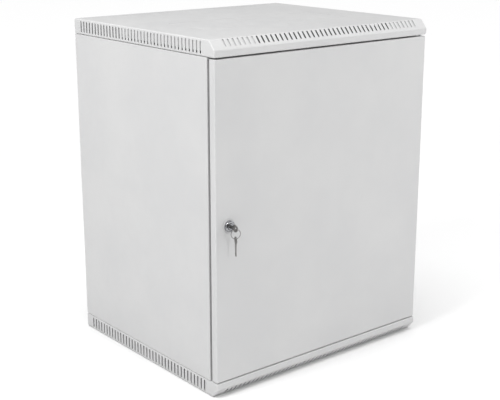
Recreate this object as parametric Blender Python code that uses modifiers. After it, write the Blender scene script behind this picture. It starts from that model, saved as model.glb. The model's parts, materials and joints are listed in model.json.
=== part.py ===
"""Wall-mount 19-inch network rack cabinet, 15U, 600 x 520 x 746 mm, folded sheet steel with a solid door.

Row frame in metres: +X is to the right of someone facing the door, +Y runs back into the cabinet, +Z is up.
The origin is on the underside of the base, in the middle of the cabinet's width and depth.
"""

import math

import bmesh
import bpy
from mathutils import Matrix, Vector

MM = 0.001

# ---------------------------------------------------------------- driving dimensions
WIDTH = 600 * MM
DEPTH = 520 * MM
HEIGHT = 746 * MM
RACK_UNITS = 15
GAP = 0.3 * MM  # clearance between pieces that touch on the real cabinet

FRONT = -DEPTH / 2
BACK = DEPTH / 2
HALF = WIDTH / 2

# Roof and base are the same folded tray
SHEET = 1.2 * MM
FASCIA = 34 * MM
LIP = 14.4 * MM
SLOPE_RUN = 17 * MM
SLOPE_DROP = FASCIA - LIP
FLANGE_FRONT = 24 * MM
FLANGE_SIDE = 20 * MM
FLANGE_REAR = 16 * MM

# Ventilation slots
SLOT_WIDTH = 4 * MM
SIDE_SLOTS = 38
SIDE_SLOT_PITCH = 12.1 * MM
SIDE_SLOT_MIDDLE = 7.4 * MM  # the row's middle sits this far behind the middle of the depth
SIDE_SLOT_LENGTH = 25 * MM
FRONT_SLOTS = 45
FRONT_SLOT_PITCH = 12.15 * MM
FRONT_SLOT_LENGTH = 18 * MM
FRONT_SLOT_START = 1.2 * MM  # from the bend between plate and slope

# Blanking plates in roof and base
FAN_LOW = Vector((-200 * MM, -103 * MM))
FAN_HIGH = Vector((200 * MM, 32 * MM))
CABLE_LOW = Vector((65 * MM, 198 * MM))
CABLE_HIGH = Vector((185 * MM, 238 * MM))
BLANK_GAP = 0.7 * MM
LUG = 12 * MM

# Back panel
BACK_HALF = 298.2 * MM
BACK_FLANGE = 18 * MM
KEYHOLE_X = 225 * MM
KEYHOLE_Z = (95 * MM, 635 * MM)
KEYHOLE_RADIUS = 7 * MM
KEYHOLE_NECK = 4 * MM
KEYHOLE_RISE = 13 * MM

# Side panels
PANEL_SHEET = 1.0 * MM
PANEL_FRONT = FRONT + 23.6 * MM
PANEL_BACK = BACK - 0.4 * MM
PANEL_HEM = 11 * MM
PANEL_LOW = FASCIA + 0.6 * MM
PANEL_HIGH = HEIGHT - FASCIA - 0.6 * MM
PANEL_SCREW = Vector((293.5 * MM, 20 * MM))

# Front posts
FRAME_SHEET = 1.5 * MM
POST_OUT = 297.8 * MM
POST_IN = 279 * MM
POST_FRONT = FRONT + 25.5 * MM
POST_BACK = FRONT + 60 * MM
POST_BOLT = Vector((288 * MM, FRONT + 43 * MM))

# Depth rails that join post and back panel
DEPTH_RAIL_IN = 257.8 * MM
DEPTH_RAIL_OUT = 296 * MM
DEPTH_RAIL_HEIGHT = 30 * MM
DEPTH_RAIL_Z = {"lower": 56 * MM, "upper": HEIGHT - 56 * MM}
DEPTH_SLOT = (FRONT + 71 * MM, BACK - 95 * MM)
DEPTH_SLOT_HALF = 3.4 * MM
DEPTH_SCREW_X = 280 * MM

# 19-inch mounting rails
RAIL_IN = 225.25 * MM
RAIL_OUT = 257.5 * MM
RAIL_FRONT = FRONT + 55 * MM
RAIL_DEPTH = 40 * MM
RAIL_TOE = 14 * MM
RAIL_LOW = 37 * MM
RAIL_HIGH = HEIGHT - 37 * MM
UNIT = 44.45 * MM
HOLE_HEIGHTS = (6.35 * MM, 22.225 * MM, 38.1 * MM)
HOLE_SIDE = 9.5 * MM
HOLE_X = 465.1 * MM / 2
RAIL_BOLT_Y = FRONT + 75 * MM

# Door
DOOR_LEFT = -HALF + 0.3 * MM
DOOR_RIGHT = HALF - 2.8 * MM
DOOR_LOW = FASCIA + 2 * MM
DOOR_HIGH = HEIGHT - FASCIA - 3 * MM
DOOR_DEPTH = 17 * MM
DOOR_HEM = 14 * MM
HINGE = Vector((DOOR_RIGHT - 9 * MM, FRONT + 9 * MM))
STIFFENER_FOOT = 34 * MM
STIFFENER_WALL = 16 * MM
STIFFENER_RISE = 11.5 * MM
BUMPER_RADIUS = 3.2 * MM
BUMPER_Z = {"lower": 172 * MM, "upper": 564 * MM}

# Hinges: brackets on the door, a sprung pin above and a fixed pin below
BRACKET_HEIGHT = 47 * MM
BRACKET_LOW = {"lower": DOOR_LOW + SHEET + GAP, "upper": DOOR_HIGH - SHEET - GAP - BRACKET_HEIGHT}
BRACKET_REACH = 7 * MM  # from the pin to the ends of the ears
BRACKET_FRONT = HINGE.y - 6.5 * MM
BRACKET_BACK = HINGE.y + 5.5 * MM
PIN_RADIUS = 3 * MM
PIN_BORE = 3.4 * MM
PIN_TOP = DOOR_HIGH + 7.9 * MM
PIN_FOOT = FASCIA - 5 * MM
COLLAR_RADIUS = 5 * MM
COLLAR_HEIGHT = 3 * MM
COLLAR_LOW = DOOR_HIGH - 25 * MM
ARM_RADIUS = 1.8 * MM
ARM_LENGTH = 20 * MM
WASHER_RADIUS = 6.5 * MM
SPRING_TURNS = 7
SPRING_RADIUS = 3.9 * MM
SPRING_WIRE = 0.45 * MM

# Lock and keys
LOCK = Vector((-HALF + 33 * MM, 0, (DOOR_LOW + DOOR_HIGH) / 2))
LOCK_BARREL = 9.4 * MM
LOCK_HEAD = 12 * MM
LOCK_NUT_RADIUS = 13.6 * MM
LOCK_NUT_HEIGHT = 5 * MM
ESCUTCHEON_RADIUS = 15 * MM
PLUG_RADIUS = 6.2 * MM
PLUG_BORE = 6.6 * MM
TANG_HALF = 3.8 * MM
KEYWAY_HALF = (1.4 * MM, 4.2 * MM)
CAM_RADIUS = 8 * MM
CAM_REACH = 25 * MM
CAM_THICKNESS = 2 * MM
BOW_RADIUS = 8 * MM
BOW_HOLE_RADIUS = 2.5 * MM
BOW_HOLE_OFFSET = 1.8 * MM
KEY_LENGTH = 42 * MM
KEY_THICKNESS = 1.9 * MM
BLADE_HALF = 3.4 * MM
FIRST_CUT = 18.5 * MM
CUT_PITCH = 3 * MM
CUT_DEPTHS = (1.2 * MM, 0.6 * MM, 1.6 * MM, 0.9 * MM, 1.4 * MM)
KEY_TIP_Y = FRONT + 13 * MM
RING_RADIUS = 9.8 * MM
RING_WIRE = 0.7 * MM
RING_TURN = math.radians(-22)  # the ring and the spare key hang turned about the vertical
HOLE_SLACK = BOW_HOLE_RADIUS - RING_WIRE - GAP  # the ring's wire rests this far off a hole's middle

# Fasteners: shank radius, head radius, head height and the head's sides
BOLT_SIDES = 12
HOLE_SIDES = 12
HEX_M6 = (3 * MM, 5.7 * MM, 4 * MM, 6)
PANEL_M5 = (2.5 * MM, 4.4 * MM, 3 * MM, BOLT_SIDES)
PAN_M6 = (3 * MM, 5 * MM, 3 * MM, BOLT_SIDES)
STUD_M6 = (3 * MM, 6 * MM, 1.5 * MM, BOLT_SIDES)
CAM_SCREW = (1.8 * MM, 5.5 * MM, 2.6 * MM, BOLT_SIDES)
M6_HOLE = 3.3 * MM
M5_HOLE = 2.8 * MM
BOLT_HOLE = 3.4 * MM
NUT_HEIGHT = 5 * MM
FRAME_STUD = (250 * MM, BACK - SHEET - GAP, 120 * MM)
DOOR_STUD = (262 * MM, FRONT + SHEET + GAP, 120 * MM)
SMOOTH_ANGLE = math.radians(40)
JOINT_ARROW = 60 * MM


# ---------------------------------------------------------------- scene and collections
def clear_scene():
    for obj in list(bpy.data.objects):
        bpy.data.objects.remove(obj, do_unlink=True)


def new_collection(name):
    collection = bpy.data.collections.new(name)
    bpy.context.scene.collection.children.link(collection)
    return collection


def material(name, colour, roughness, metallic):
    made = bpy.data.materials.new(name)
    made.use_nodes = True
    shader = made.node_tree.nodes["Principled BSDF"]
    shader.inputs["Base Color"].default_value = (*colour, 1)
    shader.inputs["Roughness"].default_value = roughness
    shader.inputs["Metallic"].default_value = metallic
    return made


clear_scene()
PARTS = new_collection("network_rack_cabinet")
CUTTERS = new_collection("cutters")
POWDER_COAT = material("light grey powder coat", (0.68, 0.68, 0.68), 0.5, 0.0)
ZINC = material("zinc plated steel", (0.62, 0.63, 0.65), 0.35, 1.0)
CHROME = material("chromed zinc", (0.75, 0.75, 0.76), 0.12, 1.0)
KEY_STEEL = material("nickel plated key steel", (0.7, 0.69, 0.66), 0.25, 1.0)
RUBBER = material("white rubber", (0.7, 0.7, 0.68), 0.8, 0.0)
PLASTIC = material("grey nylon", (0.6, 0.6, 0.6), 0.5, 0.0)


# ---------------------------------------------------------------- shape helpers
def add_object(name, mesh, finish=None):
    """A part when it has a finish, and a hidden cutter or joiner when it has none."""
    obj = bpy.data.objects.new(name, mesh)
    if finish is None:
        CUTTERS.objects.link(obj)
        obj.hide_render = True
        obj.display_type = "WIRE"
    else:
        PARTS.objects.link(obj)
        mesh.materials.append(finish)
    return obj


def shade(mesh):
    """Round faces shaded smooth, with every corner sharper than SMOOTH_ANGLE kept."""
    mesh.shade_smooth()
    mesh.set_sharp_from_angle(angle=SMOOTH_ANGLE)


def mesh_from(name, fill):
    mesh = bpy.data.meshes.new(name)
    work = bmesh.new()
    fill(work)
    work.to_mesh(mesh)
    work.free()
    shade(mesh)
    return mesh


def add_cube(work, low, high, turn=None):
    """A box between two corners. turn is a matrix applied to it afterwards."""
    low = Vector(low)
    high = Vector(high)
    size = Matrix.Diagonal((*(high - low), 1))
    place = Matrix.Translation((low + high) / 2) @ size
    bmesh.ops.create_cube(work, size=1, matrix=(turn @ place) if turn else place)


def box(name, low, high, finish=None):
    return add_object(name, mesh_from(name, lambda work: add_cube(work, low, high)), finish)


def sided_box(name, side, low, high, finish=None):
    """A box given for the right-hand side, and mirrored in X when side is -1."""
    near = (min(side * low[0], side * high[0]), low[1], low[2])
    far = (max(side * low[0], side * high[0]), high[1], high[2])
    return box(name, near, far, finish)


def rod_matrix(start, end):
    start = Vector(start)
    end = Vector(end)
    turn = (end - start).to_track_quat("Z", "Y").to_matrix().to_4x4()
    return Matrix.Translation((start + end) / 2) @ turn


def add_rod(work, start, end, radius, sides=BOLT_SIDES):
    bmesh.ops.create_cone(
        work, cap_ends=True, segments=sides, radius1=radius, radius2=radius,
        depth=(Vector(end) - Vector(start)).length, matrix=rod_matrix(start, end),
    )


def rod(name, start, end, radius, finish=None, sides=BOLT_SIDES):
    return add_object(
        name, mesh_from(name, lambda work: add_rod(work, start, end, radius, sides)), finish
    )


def flat_plate(name, outline, thickness, matrix, finish=None):
    """A flat outline, drawn as a filled 2D curve and thickened to both sides, then made a mesh."""
    curve = bpy.data.curves.new(name, "CURVE")
    curve.dimensions = "2D"
    curve.fill_mode = "BOTH"
    curve.extrude = thickness / 2
    spline = curve.splines.new("POLY")
    spline.points.add(len(outline) - 1)
    for point, (u, v) in zip(spline.points, outline):
        point.co = (u, v, 0, 1)
    spline.use_cyclic_u = True
    drawn = bpy.data.objects.new(name + "_outline", curve)
    CUTTERS.objects.link(drawn)
    bpy.context.view_layer.update()
    graph = bpy.context.evaluated_depsgraph_get()
    mesh = bpy.data.meshes.new_from_object(drawn.evaluated_get(graph))
    bpy.data.objects.remove(drawn)
    work = bmesh.new()
    work.from_mesh(mesh)
    bmesh.ops.remove_doubles(work, verts=work.verts, dist=0.01 * MM)
    bmesh.ops.transform(work, matrix=matrix, verts=work.verts)
    bmesh.ops.recalc_face_normals(work, faces=work.faces)
    work.to_mesh(mesh)
    work.free()
    shade(mesh)
    mesh.materials.clear()
    return add_object(name, mesh, finish)


def change(target, operation, others):
    for other in others:
        modifier = target.modifiers.new(operation.lower() + "_" + other.name, "BOOLEAN")
        modifier.operation = operation
        modifier.object = other
        modifier.solver = "EXACT"


def cut(target, *cutters):
    change(target, "DIFFERENCE", cutters)
    return target


def join(target, *others):
    change(target, "UNION", others)
    return target


def turned(name, profile, axis_point, finish, steps=24):
    """A closed (radius, y) profile turned about the Y axis through axis_point."""
    mesh = bpy.data.meshes.new(name)
    corners = [(radius, y, 0) for radius, y in profile]
    edges = [(i, (i + 1) % len(profile)) for i in range(len(profile))]
    mesh.from_pydata(corners, edges, [])
    obj = add_object(name, mesh, finish)
    obj.location = axis_point
    screw = obj.modifiers.new("turn", "SCREW")
    screw.axis = "Y"
    screw.steps = steps
    screw.render_steps = steps
    screw.use_smooth_shade = True
    screw.use_merge_vertices = True
    screw.merge_threshold = 0.01 * MM
    return obj


def with_helpers(part):
    """A part and the helpers that cut or join it."""
    return [part, *(modifier.object for modifier in part.modifiers if modifier.type == "BOOLEAN")]


def place(*parts, matrix):
    """Turns and moves parts as one."""
    for part in parts:
        for obj in with_helpers(part):
            obj.matrix_world = matrix @ obj.matrix_world


def joint(name, point, axis, parts, parent=None):
    """An empty on a joint's axis, with its Z along that axis, that carries the parts which move there."""
    pivot = bpy.data.objects.new(name, None)
    pivot.empty_display_type = "SINGLE_ARROW"
    pivot.empty_display_size = JOINT_ARROW
    PARTS.objects.link(pivot)
    turn = Vector(axis).to_track_quat("Z", "Y").to_matrix().to_4x4()
    pivot.matrix_world = Matrix.Translation(point) @ turn
    carried = [obj for part in parts for obj in with_helpers(PARTS.objects[part])]
    for child, holder in [(pivot, parent)] + [(obj, pivot) for obj in carried]:
        if holder is not None:
            bpy.context.view_layer.update()
            child.parent = holder
            child.matrix_parent_inverse = holder.matrix_world.inverted()
    return pivot


# ---------------------------------------------------------------- roof and base trays
def tray_outline():
    """The tray's side view as (y, z), with z measured inwards from its outer plate."""
    return [
        (FRONT + SLOPE_RUN, 0), (BACK, 0), (BACK, FASCIA), (FRONT, FASCIA), (FRONT, SLOPE_DROP),
    ]


def inset(outline, distance):
    """The convex outline, listed counter-clockwise, moved inwards by distance."""
    moved = []
    for i, corner in enumerate(outline):
        corner = Vector(corner)
        before = (corner - Vector(outline[i - 1])).normalized()
        after = (Vector(outline[(i + 1) % len(outline)]) - corner).normalized()
        inward_before = Vector((-before.y, before.x))
        inward_after = Vector((-after.y, after.x))
        share = 1 + inward_before.dot(inward_after)
        moved.append(tuple(corner + (inward_before + inward_after) * (distance / share)))
    return moved


# Maps an outline's (u, v) to the row frame's (y, z), with its thickness along x
SIDE_VIEW = Matrix(((0, 0, 1, 0), (1, 0, 0, 0), (0, 1, 0, 0), (0, 0, 0, 1)))
# Maps an outline's (u, v) to the row frame's (x, z), with its thickness along y
FRONT_VIEW = Matrix(((1, 0, 0, 0), (0, 0, -1, 0), (0, 1, 0, 0), (0, 0, 0, 1)))


def slot_cutters(name):
    """All ventilation slots of one tray as boxes in a single cutter."""

    def fill(work):
        reach = 3 * SHEET
        for i in range(SIDE_SLOTS):
            y = SIDE_SLOT_MIDDLE + (i - (SIDE_SLOTS - 1) / 2) * SIDE_SLOT_PITCH
            z = FASCIA / 2
            for side in (-1, 1):
                middle = Vector((side * HALF, y, z))
                half = Vector((reach, SLOT_WIDTH / 2, SIDE_SLOT_LENGTH / 2))
                add_cube(work, middle - half, middle + half)
        lean = Matrix.Rotation(-math.atan2(SLOPE_DROP, SLOPE_RUN), 4, "X")
        bend = Matrix.Translation((0, FRONT + SLOPE_RUN, 0))
        for i in range(FRONT_SLOTS):
            x = (i - (FRONT_SLOTS - 1) / 2) * FRONT_SLOT_PITCH
            low = (x - SLOT_WIDTH / 2, -FRONT_SLOT_START - FRONT_SLOT_LENGTH, -reach)
            high = (x + SLOT_WIDTH / 2, -FRONT_SLOT_START, reach)
            add_cube(work, low, high, turn=bend @ lean)

    return add_object(name, mesh_from(name, fill))


def hole_cutters(name):
    """The openings for both blanking plates and the round holes in the tray's flanges."""

    def fill(work):
        add_cube(work, (*FAN_LOW, -SHEET), (*FAN_HIGH, 2 * SHEET))
        for side in (-1, 1):
            xs = sorted((side * CABLE_LOW.x, side * CABLE_HIGH.x))
            add_cube(work, (xs[0], CABLE_LOW.y, -SHEET), (xs[1], CABLE_HIGH.y, 2 * SHEET))
            for spot, radius in (
                (HINGE, M6_HOLE), (POST_BOLT, M6_HOLE), (PANEL_SCREW, M5_HOLE),
            ):
                start = (side * spot.x, spot.y, FASCIA - 3 * SHEET)
                add_rod(work, start, (start[0], start[1], FASCIA + SHEET), radius, HOLE_SIDES)

    return add_object(name, mesh_from(name, fill))


def tray(name):
    """A tray with its outer plate at z = 0 and its fascias standing up to z = FASCIA."""
    body = flat_plate(name, tray_outline(), WIDTH, SIDE_VIEW, POWDER_COAT)
    cavity = flat_plate(
        name + "_cavity", inset(tray_outline(), SHEET), WIDTH - 2 * SHEET, SIDE_VIEW
    )
    mouth = box(
        name + "_mouth",
        (-HALF + FLANGE_SIDE, FRONT + FLANGE_FRONT, FASCIA - 2 * SHEET),
        (HALF - FLANGE_SIDE, BACK - FLANGE_REAR, FASCIA + SHEET),
    )
    return cut(body, cavity, mouth, slot_cutters(name + "_slots"), hole_cutters(name + "_holes"))


def blank_plate(name, low, high, lug_spots):
    """A flush blanking plate with joggled lugs that hook under the tray's sheet."""
    low = low + Vector((BLANK_GAP, BLANK_GAP))
    high = high - Vector((BLANK_GAP, BLANK_GAP))
    plate = box(name, (*low, 0), (*high, SHEET), POWDER_COAT)
    backs = []
    for i, (x, y) in enumerate(lug_spots):
        near = (x - LUG, y - LUG, SHEET - 0.2 * MM)
        far = (x + LUG, y + LUG, 2 * SHEET + GAP)
        spacer = box(
            f"{name}_spacer_{i}",
            (max(near[0], low.x + GAP), max(near[1], low.y + GAP), near[2]),
            (min(far[0], high.x - GAP), min(far[1], high.y - GAP), far[2]),
        )
        lug = box(f"{name}_lug_{i}", (*near[:2], SHEET + GAP), (*far[:2], 2 * SHEET + 2 * GAP))
        backs += [spacer, lug]
    return join(plate, *backs)


def tray_set(prefix, matrix):
    """One tray with its fan plate and two cable covers, placed by matrix."""
    body = tray(prefix)
    fan_lugs = [(x, y) for x in (-150 * MM, 150 * MM) for y in (FAN_LOW.y, FAN_HIGH.y)]
    parts = [body, blank_plate(prefix + "_fan_plate", FAN_LOW, FAN_HIGH, fan_lugs)]
    middle = (CABLE_LOW.y + CABLE_HIGH.y) / 2
    for side, word in ((-1, "left"), (1, "right")):
        xs = sorted((side * CABLE_LOW.x, side * CABLE_HIGH.x))
        low = Vector((xs[0], CABLE_LOW.y))
        high = Vector((xs[1], CABLE_HIGH.y))
        lugs = [(xs[0], middle), (xs[1], middle)]
        parts.append(blank_plate(f"{prefix}_cable_cover_{word}", low, high, lugs))
    place(*parts, matrix=matrix)


# ---------------------------------------------------------------- fixed body of the cabinet
def back_panel():
    low = FASCIA + GAP
    high = HEIGHT - FASCIA - GAP
    panel = box("back_panel", (-BACK_HALF, BACK - BACK_FLANGE, low), (BACK_HALF, BACK, high), POWDER_COAT)
    hollow = box(
        "back_panel_hollow",
        (-BACK_HALF + SHEET, BACK - BACK_FLANGE - SHEET, low + SHEET),
        (BACK_HALF - SHEET, BACK - SHEET, high - SHEET),
    )

    def holes(work):
        for side in (-1, 1):
            for z in DEPTH_RAIL_Z.values():
                x = side * DEPTH_SCREW_X
                add_rod(work, (x, BACK - 4 * SHEET, z), (x, BACK + SHEET, z), M6_HOLE, HOLE_SIDES)

    screw_holes = add_object("back_panel_holes", mesh_from("back_panel_holes", holes))
    keyholes = [
        keyhole(f"keyhole_{i}", side * KEYHOLE_X, z)
        for i, (side, z) in enumerate((s, z) for s in (-1, 1) for z in KEYHOLE_Z)
    ]
    return cut(panel, hollow, screw_holes, *keyholes)


def keyhole(name, x, z):
    """A hanging hole: a round mouth that a screw head passes, with a narrow neck above it."""
    steps = 12
    meet = math.asin(KEYHOLE_NECK / KEYHOLE_RADIUS)
    outline = []
    for i in range(steps + 1):
        angle = math.pi / 2 + meet + i * (2 * math.pi - 2 * meet) / steps
        outline.append((x + KEYHOLE_RADIUS * math.cos(angle), z + KEYHOLE_RADIUS * math.sin(angle)))
    for i in range(7):
        angle = i * math.pi / 6
        outline.append((
            x + KEYHOLE_NECK * math.cos(angle), z + KEYHOLE_RISE + KEYHOLE_NECK * math.sin(angle),
        ))
    return flat_plate(name, outline, 6 * SHEET, Matrix.Translation((0, BACK, 0)) @ FRONT_VIEW)


def side_panel(word, side):
    name = "side_panel_" + word
    far = HALF - PANEL_HEM - 10 * MM
    inner = HALF - PANEL_SHEET
    panel = sided_box(
        name, side, (HALF - PANEL_HEM, PANEL_FRONT, PANEL_LOW), (HALF, PANEL_BACK, PANEL_HIGH),
        POWDER_COAT,
    )
    hollow = sided_box(
        name + "_hollow", side,
        (far, PANEL_FRONT + PANEL_SHEET, PANEL_LOW + PANEL_SHEET),
        (inner, BACK + SHEET, PANEL_HIGH - PANEL_SHEET),
    )
    post_notch = sided_box(
        name + "_post_notch", side,
        (far, PANEL_FRONT + PANEL_SHEET, PANEL_LOW - SHEET),
        (inner, POST_BACK + 2 * MM, PANEL_HIGH + SHEET),
    )
    back_notch = sided_box(
        name + "_back_notch", side,
        (far, BACK - BACK_FLANGE - 1 * MM, PANEL_LOW - SHEET),
        (inner, BACK + SHEET, PANEL_HIGH + SHEET),
    )
    x, y = side * PANEL_SCREW.x, PANEL_SCREW.y
    screw_hole = rod(name + "_screw_hole", (x, y, 0), (x, y, HEIGHT), M5_HOLE, sides=HOLE_SIDES)
    return cut(panel, hollow, post_notch, back_notch, screw_hole)


def front_post(word, side):
    name = "front_post_" + word
    low = FASCIA + GAP
    high = HEIGHT - FASCIA - GAP
    post = sided_box(name, side, (POST_IN, POST_FRONT, low), (POST_OUT, POST_BACK, high), POWDER_COAT)
    channel = sided_box(
        name + "_channel", side,
        (POST_IN - 5 * MM, POST_FRONT + FRAME_SHEET, low + FRAME_SHEET),
        (POST_OUT - FRAME_SHEET, POST_BACK - FRAME_SHEET, high - FRAME_SHEET),
    )
    x, y = side * POST_BOLT.x, POST_BOLT.y
    bolt_hole = rod(name + "_bolt_hole", (x, y, 0), (x, y, HEIGHT), M6_HOLE, sides=HOLE_SIDES)
    return cut(post, channel, bolt_hole)


def depth_rail(word, side, level, z):
    """A U-shaped bracket that joins post and back panel, slotted for the mounting rail's bolt."""
    name = f"depth_rail_{word}_{level}"
    front = POST_BACK + GAP
    back = BACK - SHEET - GAP
    low = z - DEPTH_RAIL_HEIGHT / 2
    high = z + DEPTH_RAIL_HEIGHT / 2
    rail = sided_box(name, side, (DEPTH_RAIL_IN, front, low), (DEPTH_RAIL_OUT, back, high), ZINC)
    space = sided_box(
        name + "_space", side,
        (DEPTH_RAIL_IN + FRAME_SHEET, front + FRAME_SHEET, low - 1 * MM),
        (DEPTH_RAIL_OUT + 1 * MM, back - FRAME_SHEET, high + 1 * MM),
    )
    slot = sided_box(
        name + "_slot", side,
        (DEPTH_RAIL_IN - 1 * MM, DEPTH_SLOT[0], z - DEPTH_SLOT_HALF),
        (DEPTH_RAIL_IN + 2 * FRAME_SHEET, DEPTH_SLOT[1], z + DEPTH_SLOT_HALF),
    )
    x = side * DEPTH_SCREW_X
    screw_hole = rod(
        name + "_screw_hole", (x, back - 4 * MM, z), (x, back + 1 * MM, z), M6_HOLE, sides=HOLE_SIDES
    )
    return cut(rail, space, slot, screw_hole)


def headed_bolt(name, seat, direction, length, kind):
    """A bolt of one kind, whose head sits on seat and whose shank runs along direction."""
    radius, head_radius, head_height, sides = kind
    seat = Vector(seat)
    direction = Vector(direction)
    shank_start = seat - direction * head_height / 2
    bolt = rod(name, seat - direction * head_height, seat, head_radius, ZINC, sides)
    shank = rod(name + "_shank", shank_start, seat + direction * length, radius, sides=BOLT_SIDES)
    return join(bolt, shank)


def frame_fasteners():
    for word, side in (("left", -1), ("right", 1)):
        for level, up in (("lower", -1), ("upper", 1)):
            seat_z = HEIGHT / 2 + up * (HEIGHT / 2 - FASCIA + SHEET + GAP)
            headed_bolt(
                f"post_bolt_{word}_{level}", (side * POST_BOLT.x, POST_BOLT.y, seat_z),
                (0, 0, -up), 14 * MM, HEX_M6,
            )
            headed_bolt(
                f"side_panel_screw_{word}_{level}", (side * PANEL_SCREW.x, PANEL_SCREW.y, seat_z),
                (0, 0, -up), 10 * MM, PANEL_M5,
            )
            headed_bolt(
                f"depth_rail_screw_{word}_{level}",
                (side * DEPTH_SCREW_X, BACK - SHEET - 2 * GAP - FRAME_SHEET, DEPTH_RAIL_Z[level]),
                (0, 1, 0), 3.1 * MM, PAN_M6,
            )


def door_bumpers():
    """Soft stops on the front wall of the left post, which the door's hem meets."""
    x = -HALF + PANEL_HEM + GAP + BUMPER_RADIUS
    for level, z in BUMPER_Z.items():
        rod(
            "door_bumper_" + level, (x, POST_FRONT - GAP, z), (x, FRONT + DOOR_DEPTH + GAP, z),
            BUMPER_RADIUS, RUBBER,
        )


def earth_stud(name, base, direction):
    """A welded stud whose flange stands on base."""
    seat = Vector(base) + Vector(direction) * STUD_M6[2]
    headed_bolt(name, seat, direction, 14 * MM, STUD_M6)


# ---------------------------------------------------------------- 19-inch mounting rails
def mounting_rail(word, side):
    name = "mounting_rail_" + word
    back = RAIL_FRONT + RAIL_DEPTH
    rail = sided_box(name, side, (RAIL_IN, RAIL_FRONT, RAIL_LOW), (RAIL_OUT, back, RAIL_HIGH), ZINC)
    space = sided_box(
        name + "_space", side,
        (RAIL_IN - 5 * MM, RAIL_FRONT + FRAME_SHEET, RAIL_LOW - 1 * MM),
        (RAIL_OUT - FRAME_SHEET, back - FRAME_SHEET, RAIL_HIGH + 1 * MM),
    )
    toe_trim = sided_box(
        name + "_toe_trim", side,
        (RAIL_IN - 5 * MM, back - 2 * FRAME_SHEET, RAIL_LOW - 1 * MM),
        (RAIL_OUT - RAIL_TOE, back + 1 * MM, RAIL_HIGH + 1 * MM),
    )

    def holes(work):
        half = HOLE_SIDE / 2
        first = (HEIGHT - RACK_UNITS * UNIT) / 2
        for unit in range(RACK_UNITS):
            for rise in HOLE_HEIGHTS:
                x, z = side * HOLE_X, first + unit * UNIT + rise
                add_cube(
                    work, (x - half, RAIL_FRONT - 1 * MM, z - half),
                    (x + half, RAIL_FRONT + 2 * FRAME_SHEET, z + half),
                )
        for z in DEPTH_RAIL_Z.values():
            inner = (side * (RAIL_OUT - 4 * MM), RAIL_BOLT_Y, z)
            outer = (side * (RAIL_OUT + 1 * MM), RAIL_BOLT_Y, z)
            add_rod(work, inner, outer, BOLT_HOLE, HOLE_SIDES)

    hole_cutter = add_object(name + "_holes", mesh_from(name + "_holes", holes))
    cut(rail, space, toe_trim, hole_cutter)
    for level, z in DEPTH_RAIL_Z.items():
        seat = (side * (RAIL_OUT - FRAME_SHEET - GAP), RAIL_BOLT_Y, z)
        headed_bolt(f"rail_bolt_{word}_{level}", seat, (side, 0, 0), 12 * MM, HEX_M6)
        rail_nut(f"rail_nut_{word}_{level}", side, z)


def rail_nut(name, side, z):
    near = side * (DEPTH_RAIL_IN + FRAME_SHEET + GAP)
    far = near + side * NUT_HEIGHT
    nut = rod(name, (near, RAIL_BOLT_Y, z), (far, RAIL_BOLT_Y, z), HEX_M6[1], ZINC, 6)
    thread = rod(
        name + "_thread", (near - side * MM, RAIL_BOLT_Y, z), (far + side * MM, RAIL_BOLT_Y, z), BOLT_HOLE
    )
    return cut(nut, thread)


# ---------------------------------------------------------------- door
def door_panel():
    back = FRONT + DOOR_DEPTH
    panel = box("door_panel", (DOOR_LEFT, FRONT, DOOR_LOW), (DOOR_RIGHT, back, DOOR_HIGH), POWDER_COAT)
    cavity = box(
        "door_cavity",
        (DOOR_LEFT + SHEET, FRONT + SHEET, DOOR_LOW + SHEET),
        (DOOR_RIGHT - SHEET, back - SHEET, DOOR_HIGH - SHEET),
    )
    mouth = box(
        "door_mouth",
        (DOOR_LEFT + DOOR_HEM, back - 3 * SHEET, DOOR_LOW + DOOR_HEM),
        (DOOR_RIGHT - DOOR_HEM, back + SHEET, DOOR_HIGH - DOOR_HEM),
    )
    lock_hole = rod(
        "door_lock_hole", (LOCK.x, FRONT - 2 * MM, LOCK.z), (LOCK.x, FRONT + 3 * MM, LOCK.z),
        LOCK_BARREL + GAP, sides=24,
    )
    pin_holes = rod(
        "door_pin_holes", (*HINGE, DOOR_LOW - 3 * MM), (*HINGE, DOOR_HIGH + 3 * MM), PIN_BORE,
        sides=HOLE_SIDES,
    )
    return cut(panel, cavity, mouth, lock_hole, pin_holes)


def door_stiffener():
    """A folded hat channel that stands on the inside of the door's face."""
    sheet = PANEL_SHEET
    foot, wall, rise = STIFFENER_FOOT, STIFFENER_WALL, STIFFENER_RISE
    half = [(foot, 0), (foot, sheet), (wall, sheet), (wall, rise)]
    under = [(wall - sheet, rise - sheet), (wall - sheet, 0)]
    outline = half + [(-x, y) for x, y in reversed(half)]
    outline += [(-x, y) for x, y in reversed(under)] + under
    low, high = DOOR_LOW + DOOR_HEM + 3 * MM, DOOR_HIGH - DOOR_HEM - 3 * MM
    matrix = Matrix.Translation((0, FRONT + SHEET + GAP, (low + high) / 2))
    return flat_plate("door_stiffener", outline, high - low, matrix, POWDER_COAT)


def hinge_bracket(level):
    """A small C bracket on the door's hinge-side return, whose two ears guide a pin."""
    name = "hinge_bracket_" + level
    low = BRACKET_LOW[level]
    high = low + BRACKET_HEIGHT
    right = DOOR_RIGHT - SHEET - GAP
    bracket = box(
        name, (HINGE.x - BRACKET_REACH, BRACKET_FRONT, low), (right, BRACKET_BACK, high), ZINC
    )
    space = box(
        name + "_space",
        (HINGE.x - BRACKET_REACH - MM, BRACKET_FRONT - MM, low + FRAME_SHEET),
        (right - FRAME_SHEET, BRACKET_BACK + MM, high - FRAME_SHEET),
    )
    bore = rod(name + "_bore", (*HINGE, low - MM), (*HINGE, high + MM), PIN_BORE, sides=HOLE_SIDES)
    return cut(bracket, space, bore)


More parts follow.
